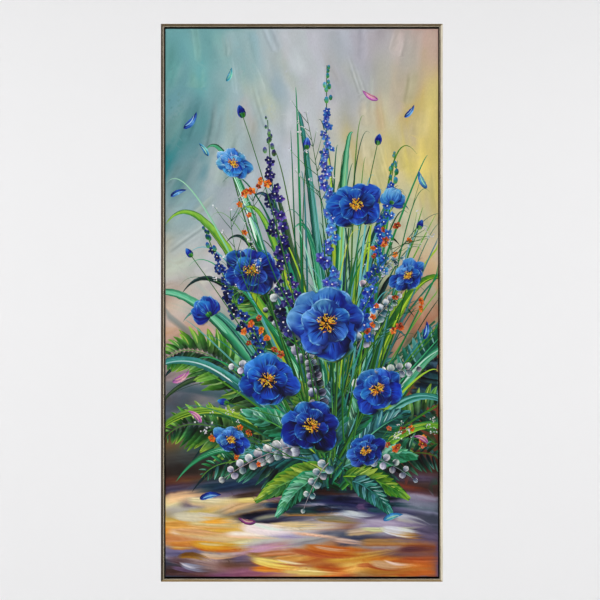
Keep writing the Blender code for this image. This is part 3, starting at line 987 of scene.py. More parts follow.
def shadows():
    # deep darks in the heart of the clump and the shade it throws on the ground
    foot = np.array(clump["foot"])
    for i in range(clump["shadows"]):
        up = rng.random() ** 1.3
        lean = towards(upright + rng.normal(0, 0.75) * (1.15 - up * 0.6))
        here = foot + lean * (0.02 + 0.34 * up)
        long = rng.uniform(0.05, 0.13)
        layStroke("veil", [here, here + lean * long * 0.5 + [0, 0.01], here + lean * long],
                  rng.uniform(0.012, 0.026), [pick("ink bottle navy deepTeal pine")], "clumpShade",
                  cover=0.95 - 0.35 * up)
    for i in range(clump["fallen"]):
        here = foot + [rng.normal(0.0, 0.085), rng.uniform(-0.055, 0.005)]
        half = [rng.uniform(0.05, 0.15) / 2, 0]
        layStroke("ground", [here - half, here + [0, rng.normal(0, 0.004)], here + half],
                  rng.uniform(0.004, 0.011), [pick("ink navy deepTeal umber plum")], "groundShade")


def arch(foot, lean, long, droop):
    # guide points of a leaf that rises on its lean and bows over by its droop
    foot = np.asarray(foot, float)
    rise = foot + towards(lean) * long * 0.42
    crown = foot + towards(lean) * long * 0.85
    fall = crown + np.array([math.copysign(1.0, math.cos(lean)) * 0.55, -0.8]) * droop
    return [foot, rise, crown, fall]


def sweep(across, up, lean, long, rise):
    # guide points of a short leaf or sprig that bends over a little
    foot = np.array([across, up])
    tip = foot + towards(math.radians(lean)) * long + [0, -0.02]
    return [foot, (foot + tip) / 2 + [0, rise], tip]


def grasses(layer, count, reach, darker=0.0):
    # fine hair-like blades drawn with a long liner
    for i in range(count):
        lean = upright + rng.normal(0.05, 0.42)
        long = reach * rng.uniform(0.45, 1.0) * (1.1 - 0.45 * abs(lean - upright))
        foot = rootAt(0.07) + [0, rng.uniform(0, 0.20)]
        tone = blendOf(pick("sap emerald mint lime viridian teal aqua"), "bottle", darker)
        guide = arch(foot, lean, long, abs(rng.normal(0.03, 0.05)))
        layStroke(layer, guide, rng.uniform(0.0009, 0.0026),
                  [blendOf(tone, "bottle", 0.6), tone, blendOf(tone, "white", rng.uniform(0, 0.35))],
                  "grass")


def blade(layer, guide, half, tones, gleam):
    # a long strap leaf: its body, then a few dragged streaks
    dark, mid, light = tones
    layStroke(layer, guide, half, [[dark, dark, mid], [dark, mid, light], [mid, light, dark]], "strap")
    for i in range(rng.integers(2, 5)):
        a = rng.uniform(0.05, 0.5)
        b = rng.uniform(a + 0.25, 0.97)
        side = rng.uniform(-0.55, 0.55) * half
        spots = []
        for s in (a, (a + b) / 2, b):
            here, lead = onGuide(guide, s)
            spots.append(here + beside(lead) * side * outlines["blade"](s))
        layStroke(layer, through(*spots), half * rng.uniform(0.10, 0.28),
                  [blendOf(light, gleam, rng.uniform(0.1, 0.8)), light], "strapStreak")


def broadLeaf(layer, guide, half, tones, rib):
    # a wide leaf, built of strokes pulled from its rib to its edge
    dark, mid, light = tones
    layStroke(layer, guide, half * 0.97, [[dark, dark, mid]], "leafBody")
    for i in range(clump["veins"]):
        s = 0.03 + 0.86 * i / clump["veins"]
        for way in (-1, 1):
            here, lead = onGuide(guide, s)
            there, farLead = onGuide(guide, min(1.0, s + 0.20))
            side = beside(farLead) * way
            tip = there + side * (half * outlines["leaf"](min(0.97, s + 0.20))) * rng.uniform(0.88, 1.06)
            bend = (here + tip) / 2 + lead * half * 0.10
            lit = side @ sunny
            body = blendOf(mid, light, np.clip(0.35 + 0.5 * lit + rng.normal(0, 0.16), 0, 1))
            if lit < 0:
                body = blendOf(body, dark, 0.35 * -lit)
            body = sunk(body, tip, 0.35)
            layStroke(layer, [here, bend, tip], half * rng.uniform(0.17, 0.23),
                      [blendOf(body, dark, 0.6), body, blendOf(body, light, 0.25)], "leafPull")
            if lit > 0 and rng.random() < 0.6:
                layStroke(layer, [here + (tip - here) * 0.25, bend, here + (tip - here) * 0.9], half * 0.03,
                          [blendOf(light, "white", rng.uniform(0.1, 0.5))], "leafGleam")
    layStroke(layer, guide, half * 0.05, [rib, mid], "rib")


def fern(layer, guide, reach, tones, pairs):
    # a fern: a thin stem with pairs of separate leaflets
    for i in range(pairs):
        s = 0.10 + 0.88 * (i + 0.5) / pairs
        here, lead = onGuide(guide, s)
        long = reach * (math.sin(math.pi * min(1, (0.10 + 0.9 * s) ** 0.85)) ** 0.8 + 0.05)
        for way in (-1, 1):
            turn = angleOf(lead) + way * (1.12 - 0.35 * s) + rng.normal(0, 0.06)
            tip = here + towards(turn) * long * rng.uniform(0.85, 1.08)
            bend = (here + tip) / 2 + towards(turn + way * 1.3) * long * 0.07
            lit = towards(turn) @ sunnyHigh
            tone = blendOf(tones[0], tones[1], np.clip(0.5 + 0.45 * lit + rng.normal(0, 0.15), 0, 1))
            tipTone = blendOf(tone, tones[2], rng.uniform(0.3, 0.9))
            tone, tipTone = sunk(tone, here, 0.75), sunk(tipTone, tip, 0.65)
            layStroke(layer, [here, bend, tip - [0, long * 0.10]], max(0.0016, long * 0.105),
                      [blendOf(tone, "ink", 0.6), tone, tipTone], "leaflet")
            if lit > 0.1 and i % 2:
                layStroke(layer, [here + (tip - here) * 0.3, bend, here + (tip - here) * 0.85],
                          max(0.0005, long * 0.022), [blendOf(tipTone, "white", 0.3)], "leafGleam")
    layStroke(layer, guide, 0.0016, [blendOf("sap", "umber", 0.4), "sap"], "twig")


# flowers, sprigs and loose petals
flower = {  # sizes as shares of the radius
    "rings": [(7, 0.10, 0.95, 0.44, 13), (5, 0.06, 0.62, 0.33, 9)],  # petals, start, length, half, veins
    "cores": 17,  # dark dabs in its middle
    "filaments": 24,
    "anthers": 44,
    "heart": "lemon amber",
}
blues = ("navy", "cobalt", "azure")


def facing(centre, angle, squash):
    # turns a place in a flower's own flat round into a place on the canvas, seen aslant
    c, s = math.cos(angle), math.sin(angle)
    lean = np.array([[c, -s], [s, c]]) @ np.diag([1.0, squash])
    return lambda r, a: np.asarray(centre) + lean @ (towards(a) * r)


def litShare(heading, start, reach, unsteady):
    # how much light is caught by a petal or a leaf that points this way
    return float(np.clip(start + reach * heading @ sunny + rng.normal(0, unsteady), 0, 1))


def stem(layer, guide, half, tones=("pine", "sap")):
    layStroke(layer, guide, half, [tones, tones], "stem")


def petal(layer, put, angle, start, long, half, tones, streaks, gleam="sky"):
    # a petal: its cast shade, its body, streaks that fan out of the heart and a turned-up rim
    dark, mid, light = tones
    root, tip = put(start, angle), put(start + long, angle)
    way = tip - root
    heading = way / (np.linalg.norm(way) + 1e-9)
    side = beside(heading)
    belly = start + long * 0.6
    narrow = np.linalg.norm(put(belly, angle + 0.3) - put(belly, angle - 0.3)) / (2 * belly * math.sin(0.3))
    broad = half * np.clip(narrow, 0.35, 1.2)
    lit = litShare(heading, 0.5, 0.55, 0.08)
    bend = (root + tip) / 2 + side * rng.normal(0, broad * 0.12)
    drop = np.array([0.0022, -0.0030]) * long / 0.05
    layStroke(layer, [root, bend + drop, tip + drop], broad * 1.12, ["ink"], "petalShade")
    rim = blendOf(light, gleam, 0.15 + 0.65 * lit)
    far, near = blendOf(mid, light, 0.04 + 0.70 * lit), blendOf(dark, mid, 0.14 + 0.62 * lit)
    left, right = (far, near) if side @ sunny < 0 else (near, far)
    layStroke(layer, [root, bend, tip], broad,
              [[dark, dark, dark], [near, dark, near], [near, mid, near], [left, mid, right],
               [left, far, right], [rim, far, rim]], "petalBody")
    for i in range(streaks):
        t = -0.86 + 1.72 * (i + rng.uniform(0.1, 0.9)) / streaks
        a, b = rng.uniform(0.02, 0.40), rng.uniform(0.66, 0.98)
        p = root + way * a + side * t * broad * 0.5 * (a + 0.25)
        q = root + way * b * (1 - 0.12 * t * t) + side * t * broad * 0.86
        if rng.random() < 0.25 + 0.55 * lit:
            tone = blendOf(far, gleam, rng.uniform(0.05, 0.75) * (0.4 + 0.6 * lit))
        else:
            tone = blendOf(near, pick("violet ultramarine navy ink"), rng.uniform(0.2, 0.7))
        layStroke(layer, [p, (p + q) / 2 + side * t * broad * 0.16, q], broad * rng.uniform(0.04, 0.10),
                  [blendOf(tone, dark, 0.7), tone, tone], "petalVein")
    ruffles = 3 if long > 0.03 else 2
    for i in range(ruffles):
        t0 = -0.88 + 1.2 * i / ruffles + rng.normal(0, 0.06)
        t1 = t0 + rng.uniform(0.55, 0.85)
        edge = [root + way * (0.985 - 0.22 * t * t) + side * t * broad * 0.82
                for t in (t0, (t0 + t1) / 2, t1)]
        tone = blendOf(rim, "white", rng.uniform(0, 0.5) * lit)
        layStroke(layer, through(*edge), broad * rng.uniform(0.03, 0.055), [far, tone, far], "petalRim")


def bloom(layer, centre, radius, angle, squash, tones=blues, more=0, gleam="sky"):
    # an open flower: a wide ring of petals, a smaller one over it and a heart of stamens
    put = facing(centre, angle, squash)
    dark = tones[0]
    for ring, (count, begin, long, half, veins) in enumerate(flower["rings"]):
        count += 0 if ring else more
        turn = rng.uniform(0, anyTurn)
        places = [turn + 6.2832 * i / count + rng.normal(0, 0.11) for i in range(count)]
        places.sort(key=lambda a: -(put(1, a) - np.asarray(centre))[1] + rng.normal(0, 0.3))
        for a in places:
            scale = rng.uniform(0.84, 1.10) * radius
            petal(layer, put, a, begin * radius, long * scale, half * scale,
                  [dark, blendOf(tones[1], tones[2], 0.15 * ring), tones[2]], veins, gleam)
    for i in range(flower["cores"]):
        a = rng.uniform(0, anyTurn)
        p, q = put(radius * 0.02, a), put(radius * rng.uniform(0.15, 0.27), a)
        layStroke(layer, [p, q], radius * 0.04, ["ink", blendOf(dark, "ink", 0.5)], "dot")
    for i in range(flower["filaments"]):
        a = rng.uniform(0, anyTurn)
        p, q = put(radius * 0.05, a), put(radius * rng.uniform(0.16, 0.30), a)
        layStroke(layer, [p, q], radius * 0.010, [pick("amber orange"), pick(flower["heart"])], "stamen")
    for i in range(flower["anthers"]):
        a = rng.uniform(0, anyTurn)
        here = put(radius * (0.03 + 0.27 * rng.random() ** 0.7), a)
        there = here + [rng.normal(0, 0.0015), rng.uniform(0.001, 0.003)]
        tone = pick(flower["heart"]) if rng.random() < 0.75 else pick("brick orange umber")
        layStroke(layer, [here, there], radius * rng.uniform(0.014, 0.030),
                  [tone, blendOf(tone, "white", 0.35)], "dot")


def sideBloom(layer, foot, lean, radius, tones=blues):
    # a flower seen from its side: a cup of petals fanning out of its foot
    put = facing(foot, 0.0, 1.0)
    for turn, long in [(-0.95, 0.85), (0.95, 0.85), (-0.6, 1.0), (0.6, 1.0), (-0.25, 1.06), (0.28, 1.04),
                       (0.0, 0.92)]:
        petal(layer, put, lean + turn + rng.normal(0, 0.06), 0.0, radius * long, radius * 0.36, tones, 7)
    for way in (-0.5, 0.0, 0.5):
        tip = np.asarray(foot) + towards(lean + way) * radius * 0.28
        layStroke(layer, [foot, tip], radius * 0.09, ["pine", "sap"], "leafPull")


def bud(layer, foot, lean, long):
    tip = foot + towards(lean) * long
    for turn in (-0.30, 0.30, 0.0):
        q = foot + towards(lean + turn) * long * 0.9
        layStroke(layer, [foot, (foot + q) / 2 + towards(lean + turn * 3) * long * 0.1, tip], long * 0.20,
                  ["ultramarine", "ultramarine", "azure"], "budPetal")
    for turn in (-0.4, 0.4, 0.0):
        layStroke(layer, [foot, foot + towards(lean + turn) * long * 0.45], long * 0.12, [["pine", "sap"]],
                  "budLeaf")


def coinSprig(layer, guide, size, pairs, tones):
    # a sprig of round silvery leaves, set in pairs along a thin stem
    dark, mid, light = tones
    stem(layer, guide, 0.0013, (blendOf("umber", "plum", 0.4), shade(mid)))
    drop = np.array([0.0012, -0.0018])
    for i in range(pairs + 1):
        s = 0.10 + 0.88 * i / pairs
        here, lead = onGuide(guide, s)
        reach = size * (1 - 0.45 * s)
        for way in (-1, 1) if i < pairs else (0,):
            out = towards(angleOf(lead) + way * rng.uniform(0.95, 1.35))
            root, tip = here + out * reach * 0.12, here + out * reach
            lit = litShare(out, 0.5, 0.5, 0.18)
            body, edge = blendOf(dark, mid, 0.25 + 0.75 * lit), blendOf(mid, light, 0.15 + 0.85 * lit)
            half = reach * rng.uniform(0.38, 0.50)
            layStroke(layer, [root + drop, tip + drop], half * 1.06, ["ink"], "coinShade")
            layStroke(layer, [root, tip], half,
                      [[dark, dark, body], [body, body, edge], [body, edge, edge]], "coin")
            layStroke(layer, [root, root + (tip - root) * 0.8], half * 0.06, [dark, edge], "rib")
            away = -beside(tip - root) / np.linalg.norm(tip - root)
            away = away * math.copysign(1.0, away @ sunny) * half
            layStroke(layer, [root + (tip - root) * 0.25 + away * 0.86, (root + tip) / 2 + away * 1.02,
                              root + (tip - root) * 0.80 + away * 0.66], half * 0.09,
                      [edge, blendOf(edge, "white", 0.7 * lit), edge], "coinRim")


def spire(layer, guide, reach, tones, florets):
    # a tall spike of small five-petalled florets, open below and in bud at the tip
    stem(layer, guide, 0.0024)
    for i in range(florets):
        s = 0.28 + 0.72 * i / florets
        here, lead = onGuide(guide, s)
        side = beside(lead)
        room = reach * (1 - s) ** 0.55 * 1.15 + 0.002
        off = rng.uniform(-1, 1)
        centre = here + side * off * room + lead * rng.normal(0, 0.004)
        size = (0.0125 * (1 - s) ** 0.4 + 0.0035) * rng.uniform(0.85, 1.15)
        lit = float(np.clip(0.5 - 0.5 * off * np.sign(side @ sunny), 0, 1))
        if s > 0.86:
            layStroke(layer, [centre, centre + lead * size * 1.6], size * 0.5, ["sap", tones[1]], "dot")
            continue
        put = facing(centre, rng.uniform(0, 3), rng.uniform(0.6, 1.0))
        turn = rng.uniform(0, 6)
        for k in range(5):
            a = turn + fifth * k
            body = blendOf(tones[0], tones[1], np.clip(lit * 0.6 + rng.uniform(0, 0.4), 0, 1))
            tip = blendOf(body, tones[2], rng.uniform(0.2, 0.8) * (0.4 + 0.6 * lit))
            layStroke(layer, [put(0, a), put(size * 0.5, a + 0.1), put(size, a)], size * 0.34,
                      [tones[0], body, tip], "floret")
        layStroke(layer, [centre, centre + [0, size * 0.22]], size * 0.13, ["white"], "dot")


def blossom(layer, centre, size, tones):
    put = facing(centre, rng.uniform(0, 3), rng.uniform(0.55, 1.0))
    turn = rng.uniform(0, 6)
    for k in range(5):
        a = turn + fifth * k + rng.normal(0, 0.1)
        layStroke(layer, [put(0, a), put(size * 0.5, a), put(size, a)], size * 0.36,
                  [tones[0], tones[1], blendOf(tones[1], tones[2], rng.uniform(0, 1))], "blossom")
    for k in range(3):
        here = put(size * rng.uniform(0, 0.2), rng.uniform(0, 6))
        layStroke(layer, [here, here + [0, size * 0.16]], size * 0.10, [pick("umber ink lemon")], "dot")


def silverHead(layer, end, size):
    for k in range(rng.integers(3, 7)):
        here = end + rng.normal(0, size * 0.55, 2)
        layStroke(layer, [here, here + rng.normal(0, size * 0.25, 2) + [0, size * 0.3]], size * 0.3,
                  [pick("silver pearl lilac"), pick("white pearl")], "dot")


def spray(layer, foot, lean, long, sprigs, head, size):
    # a branching sprig: thin stems that each carry small heads
    foot = np.asarray(foot, float)
    tip = foot + towards(lean) * long
    guide = [foot, foot + towards(lean + rng.normal(0, 0.25)) * long * 0.5, tip]
    stem(layer, guide, 0.0013)
    heads = [(tip, size)]
    for i in range(sprigs):
        s = rng.uniform(0.38, 0.97)
        here, lead = onGuide(guide, s)
        out = towards(angleOf(lead) + rng.choice([-1, 1]) * rng.uniform(0.35, 0.95))
        reach = long * rng.uniform(0.10, 0.26) * (1.25 - s * 0.6)
        end = here + out * reach + [0, reach * 0.15]
        layStroke(layer, [here, here + out * reach * 0.55, end], 0.0008, ["pine", "sap"], "twig")
        heads.append((end, size * rng.uniform(0.65, 1.0)))
    for end, s in heads:
        head(layer, end, s)


def fallingPetal(layer, centre, lean, long, tones):
    here = np.asarray(centre)
    dark, mid, light = tones
    reach = towards(lean) * long / 2
    bow = towards(lean + upright) * long * rng.uniform(0.12, 0.28) * rng.choice([-1, 1])
    layStroke(layer, [here - reach, here + bow, here + reach], long * 0.15,
              [[dark, mid], [mid, light], [dark, mid]], "driftBody")
    layStroke(layer, [here - reach * 0.7, here + bow * 0.75, here + reach * 0.6], long * 0.03,
              [light, blendOf(light, "white", 0.4)], "driftGleam")


# what the plants are painted with: dark, middle and light
greens = [("bottle", "emerald", "mint"), ("deepTeal", "viridian", "aqua"), ("pine", "sap", "lime")]
silvers = [("ink", "slate", "pearl"), ("slate", "silver", "white"), ("deepTeal", "silver", "white")]
warm = [("rust", "orange", "amber"), ("brick", "orange", "peach"), ("umber", "brick", "orange")]
hues = [("navy", "cobalt", "sky"), ("deepTeal", "azure", "mint"), ("plum", "orchid", "blush")]

# where everything grows, in metres from the middle of the picture
planting = {
    "straps": [  # lean (degrees), length, droop, half width, greens
        (104, 0.98, 0.10, 0.010, 0), (96, 1.00, 0.02, 0.009, 1), (112, 0.86, 0.16, 0.011, 2),
        (88, 0.92, 0.04, 0.010, 0), (80, 0.82, 0.12, 0.010, 1), (122, 0.72, 0.20, 0.012, 0),
        (131, 0.58, 0.24, 0.011, 1), (72, 0.66, 0.16, 0.010, 2), (64, 0.54, 0.20, 0.011, 0),
        (142, 0.46, 0.22, 0.011, 2), (54, 0.42, 0.20, 0.010, 1), (100, 0.80, 0.12, 0.008, 2),
        (92, 0.74, 0.10, 0.008, 0), (116, 0.62, 0.14, 0.009, 1), (84, 0.66, 0.08, 0.009, 2),
        (152, 0.36, 0.16, 0.010, 0), (46, 0.34, 0.16, 0.010, 2), (108, 0.52, 0.10, 0.009, 0),
        (76, 0.50, 0.12, 0.008, 1), (98, 0.58, 0.08, 0.008, 1),
    ],
    "fronds": [  # lean, length, droop, reach of the leaflets
        (150, 0.40, 0.10, 0.075), (128, 0.56, 0.16, 0.085), (112, 0.62, 0.10, 0.080),
        (62, 0.52, 0.14, 0.080), (44, 0.40, 0.14, 0.070), (88, 0.50, 0.06, 0.070),
        (30, 0.27, 0.10, 0.055), (164, 0.30, 0.08, 0.055),
    ],
    "leaves": [  # foot across, foot up, lean, length, half width, greens
        (0.05, -0.36, 168, 0.20, 0.034, 1), (0.09, -0.36, 14, 0.17, 0.032, 0),
        (0.03, -0.33, 146, 0.20, 0.036, 0), (0.11, -0.33, 40, 0.17, 0.034, 1),
        (0.06, -0.37, 196, 0.17, 0.030, 2), (0.09, -0.38, -12, 0.15, 0.028, 2),
        (0.05, -0.30, 118, 0.18, 0.033, 2), (0.10, -0.30, 66, 0.16, 0.032, 0),
        (0.04, -0.38, 216, 0.12, 0.026, 0), (0.11, -0.39, -34, 0.11, 0.025, 1),
        (0.07, -0.32, 92, 0.17, 0.034, 1),
    ],
    "coins": [  # foot across, foot up, lean, length, size of a leaf
        (-0.01, -0.20, 150, 0.16, 0.027), (0.11, -0.20, 28, 0.16, 0.026), (0.02, -0.14, 124, 0.17, 0.025),
        (0.12, -0.10, 56, 0.16, 0.024), (0.01, -0.31, 197, 0.19, 0.028), (0.10, -0.33, -14, 0.15, 0.025),
        (-0.04, 0.0, 138, 0.14, 0.021), (0.13, 0.02, 48, 0.13, 0.020), (0.04, -0.24, 100, 0.14, 0.024),
        (0.06, -0.35, 236, 0.10, 0.022),
    ],
    "spires": [  # three guide points, reach, tones, florets
        ((0.02, -0.25), (-0.06, 0.10), (-0.075, 0.40), 0.022, ("navy", "violet", "mauve"), 54),
        ((0.10, -0.25), (0.17, 0.08), (0.205, 0.33), 0.020, ("ultramarine", "azure", "sky"), 48),
        ((0.00, -0.28), (-0.14, -0.04), (-0.215, 0.17), 0.018, ("navy", "cobalt", "sky"), 40),
        ((0.07, -0.20), (0.05, 0.20), (0.055, 0.52), 0.020, ("violet", "azure", "mint"), 50),
    ],
    "stems": [  # three guide points
        ((0.06, -0.34), (0.09, -0.05), (0.105, 0.19)), ((0.04, -0.34), (-0.02, -0.10), (-0.105, 0.055)),
        ((0.07, -0.34), (0.075, -0.18), (0.085, -0.03)), ((0.05, -0.34), (0.00, -0.24), (-0.06, -0.165)),
        ((0.08, -0.34), (0.13, -0.26), (0.155, -0.20)), ((0.04, -0.34), (-0.06, -0.05), (-0.155, 0.29)),
        ((0.08, -0.34), (0.20, -0.12), (0.235, 0.06)),
    ],
    "buds": [  # across, up, lean (radians), length
        (-0.128, 0.405, 1.9, 0.030), (0.010, 0.335, 1.5, 0.028), (0.255, 0.16, 1.2, 0.024),
        (-0.24, 0.10, 2.2, 0.024), (-0.16, -0.22, 2.9, 0.026), (0.165, 0.345, 1.35, 0.026),
    ],
    "backBlooms": [  # layer, place, radius, turn, squash, tones, petals more than usual, gleam
        ("back", (0.118, 0.215), 0.060, 0.3, 0.82),
        ("back", (-0.150, 0.305), 0.046, 2.6, 0.62, ("ultramarine", "azure", "sky"), 0, "white"),
        ("back", (0.232, 0.060), 0.043, 0.7, 0.66, ("navy", "cobalt", "sky")),
        ("back", (-0.110, 0.070), 0.060, 2.9, 0.78, ("navy", "ultramarine", "azure")),
    ],
    "blossoms": [  # foot, lean, length, heads
        ((0.03, -0.24), 2.2, 0.24, 9), ((0.10, -0.20), 0.9, 0.26, 9), ((-0.02, -0.02), 1.9, 0.28, 8),
        ((0.11, -0.05), 1.15, 0.24, 7), ((0.10, -0.34), 0.25, 0.17, 7), ((0.02, -0.34), 2.9, 0.20, 8),
    ],
    "sprays": [  # the same
        ((0.00, -0.10), 2.05, 0.34, 16), ((0.12, -0.10), 1.05, 0.30, 14), ((0.05, 0.10), 1.70, 0.32, 14),
        ((-0.02, -0.34), 2.75, 0.22, 12), ((0.13, -0.34), 0.45, 0.16, 10),
    ],
    "frontBlooms": [  # as the back ones
        ("front", (0.165, -0.190), 0.060, 0.5, 0.76),
        ("front", (-0.075, -0.170), 0.068, 2.8, 0.84, ("ink", "cobalt", "azure")),
        ("low", (0.140, -0.325), 0.044, 0.4, 0.74, ("navy", "ultramarine", "azure")),
        ("low", (-0.155, -0.300), 0.040, 2.7, 0.70, ("navy", "cobalt", "sky")),
        ("low", (0.020, -0.270), 0.066, 3.0, 0.84, ("ink", "ultramarine", "azure")),
        ("front", (0.055, -0.045), 0.082, 0.2, 0.90, ("navy", "cobalt", "sky"), 1),
    ],
    "sideBlooms": [  # foot, lean, radius, tones
        ((-0.200, -0.030), 2.2, 0.045),
        ((0.195, 0.215), 1.2, 0.036, ("ultramarine", "azure", "sky")),
    ],
    "drift": [  # across, up, lean (radians), length, hue
        (-0.245, 0.40, 0.9, 0.034, 0), (-0.215, 0.335, 2.2, 0.026, 1), (-0.27, 0.24, 0.4, 0.028, 0),
        (0.265, 0.27, 2.0, 0.032, 1), (0.235, 0.42, 0.9, 0.026, 0), (0.15, 0.455, 2.6, 0.030, 2),
        (-0.265, -0.16, 0.6, 0.034, 2), (-0.235, -0.25, 2.4, 0.028, 2), (-0.16, 0.50, 1.2, 0.024, 1),
        (0.27, -0.06, 1.4, 0.030, 0), (0.26, -0.30, 2.7, 0.026, 2), (-0.20, -0.425, 0.2, 0.036, 0),
        (-0.12, -0.475, 2.9, 0.030, 2), (0.20, -0.47, 0.3, 0.034, 1),
    ],
    "hairs": {"back_leaves": (90, 0.75, 0.6), "strap_leaves": (80, 0.80)},  # count, length, share of dark
    "blossomSize": 0.0105,
    "spraySize": 0.0068,
    "driftScale": 1.35,
}


def startOver():
    # what the cloth shows from here on, so that later strokes blend with it
    gapX, gapZ = clothGaps
    halfX, halfZ = wide / 2 - cloth["fold"], tall / 2 - cloth["fold"]
    coarse = wetColour[cellsUnder(*np.meshgrid(np.linspace(-halfX, halfX, gapX + 1),
                                               np.linspace(-halfZ, halfZ, gapZ + 1)))]
    u = np.clip((np.arange(columns) * easel["cell"] - cloth["fold"]) / (2 * halfX), 0, 1) * gapX
    v = np.clip((np.arange(rows) * easel["cell"] - cloth["fold"]) / (2 * halfZ), 0, 1) * gapZ
    lowU, lowV = np.minimum(u.astype(int), gapX - 1), np.minimum(v.astype(int), gapZ - 1)
    partU, partV = (u - lowU)[None, :, None], (v - lowV)[:, None, None]
    across = coarse[:, lowU] * (1 - partU) + coarse[:, lowU + 1] * partU
    wetColour[:] = across[lowV] * (1 - partV) + across[lowV + 1] * partV
    paintDepth[:] = easel["ground"]


def paintLeaves():
    grasses("back_leaves", *planting["hairs"]["back_leaves"])
    for lean, long, droop, half, group in planting["straps"]:
        tones = [blendOf(t, "deepTeal", 0.35) for t in greens[(group + 1) % 3]]
        guide = arch(rootAt(), math.radians(lean + rng.normal(0, 5)), long * rng.uniform(0.75, 0.95), droop)
        blade("back_leaves", guide, half * 0.9, [sunk(t, clump["heart"], 0.42) for t in tones], "aqua")
    for lean, long, droop, reach in planting["fronds"]:
        tones = greens[rng.integers(3)]
        fern("ferns", arch(rootAt(), math.radians(lean), long, droop), reach, tones, int(long * 58))
    for lean, long, droop, half, group in planting["straps"]:
        guide = arch(rootAt(0.035), math.radians(lean), long, droop)
        blade("strap_leaves", guide, half, greens[group], pick("mint lime aqua white"))
    grasses("strap_leaves", *planting["hairs"]["strap_leaves"])
    for across, up, lean, long, half, group in planting["leaves"]:
        broadLeaf("broad_leaves", sweep(across, up, lean, long, 0.03), half, greens[group],
                  pick("lime mint aqua"))
    for across, up, lean, long, size in planting["coins"]:
        coinSprig("silver_leaves", sweep(across, up, lean, long, 0.028), size, int(long * 46),
                  silvers[rng.integers(3)])


def paintFlowers():
    for first, second, third, reach, tones, florets in planting["spires"]:
        spire("spires", [first, second, third], reach, tones, florets)
    for guide in planting["stems"]:
        stem("stems", guide, 0.0030, ("bottle", "sap"))
    for across, up, lean, long in planting["buds"]:
        foot, tip = np.array([0.05 + 0.25 * across, -0.30]), np.array([across, up])
        below = tip - towards(lean) * (0.22 + 0.3 * np.linalg.norm(tip - foot))
        stem("stems", [foot, below, tip + towards(lean) * long * 0.2], 0.0021)
    for layer, *look in planting["backBlooms"]:
        bloom("blooms_" + layer, *look)
    for row in planting["blossoms"]:
        spray("blossoms", *row, lambda layer, end, size: blossom(layer, end, size, pick(warm)),
              planting["blossomSize"])
    for row in planting["sprays"]:
        spray("sprays", *row, silverHead, planting["spraySize"])
    for layer, *look in planting["frontBlooms"]:
        bloom("blooms_" + layer, *look)
    for row in planting["sideBlooms"]:
        sideBloom("blooms_front", *row)
    for across, up, lean, long in planting["buds"]:
        bud("blooms_front", np.array([across, up]), lean, long)
    for across, up, lean, long, hue in planting["drift"]:
        fallingPetal("loose_petals", (across, up), lean, long * planting["driftScale"], hues[hue])


def paintPicture():
    boldAir()
    dragGround()
    knifeGround()
    shadows()
    veil()
    paintLeaves()
    paintFlowers()


# paint and cloth finishes
varnish = {"roughness": 0.40, "gleam": 0.17, "weave": 0.00006, "pitch": 0.00085, "relief": 9000}
cotton = {"height": 0.00022, "roughness": 0.92, "sheen": 0.15}


def weaveOf(tree):
    # over and under threads, as a height from 0 to 1
    parts = addNode(tree, "SeparateXYZ", Vector=placed(tree))
    turn = math.pi / varnish["pitch"]
    waves = []
    for first, second, phase in (("X", "Z", 0.0), ("Z", "X", math.pi)):
        thread = maths(tree, "ABSOLUTE", maths(tree, "SINE", times(tree, parts.outputs[first], turn)))
        other = times(tree, parts.outputs[second], turn)
        over = times(tree, maths(tree, "SINE", plus(tree, other, phase)), 0.25)
        waves.append(times(tree, thread, plus(tree, over, 0.6)))
    return maths(tree, "MAXIMUM", *waves)


def makeOil(name, strokes):
    # oil paint whose colour was mixed on the cloth; thin washes let the weave show
    material, tree, shader = recipe(name)
    laid = stored(tree, "paint").outputs["Color"]
    hair = noise(tree, (700, 700, 160), rough=0.6)
    weave = weaveOf(tree)
    height = plus(tree, times(tree, weave, 0.8), times(tree, hair, 0.6))
    if strokes:
        # bristle marks run along each stroke, and give way to the weave where the paint thins
        brushed = stored(tree, "bristle").outputs["Vector"]
        body = stored(tree, "body").outputs["Fac"]
        grooves = noise(tree, 1, rough=0.6, place=brushed)
        hair, height = between(tree, hair, grooves, body), between(tree, height, grooves, body)
    else:
        relief = stored(tree, "relief").outputs["Fac"]
        height = plus(tree, height, times(tree, relief, varnish["relief"]))
    bumped(tree, shader, height, varnish["weave"], 0.7)
    streak = ramp(tree, hair, 0.3, 0.7, 0.93, 1.07, "LINEAR")
    grey = addNode(tree, "CombineColor", Red=streak, Green=streak, Blue=streak).outputs[0]
    colour = mixed(tree, 1.0, laid, grey, "MULTIPLY")
    gloss = plus(tree, times(tree, noise(tree, 14), 0.16), varnish["roughness"] - 0.08)
    setUp(tree, shader, Base_Color=colour, Roughness=plus(tree, gloss, times(tree, hair, 0.06)),
          Specular_IOR_Level=varnish["gleam"])
    return material


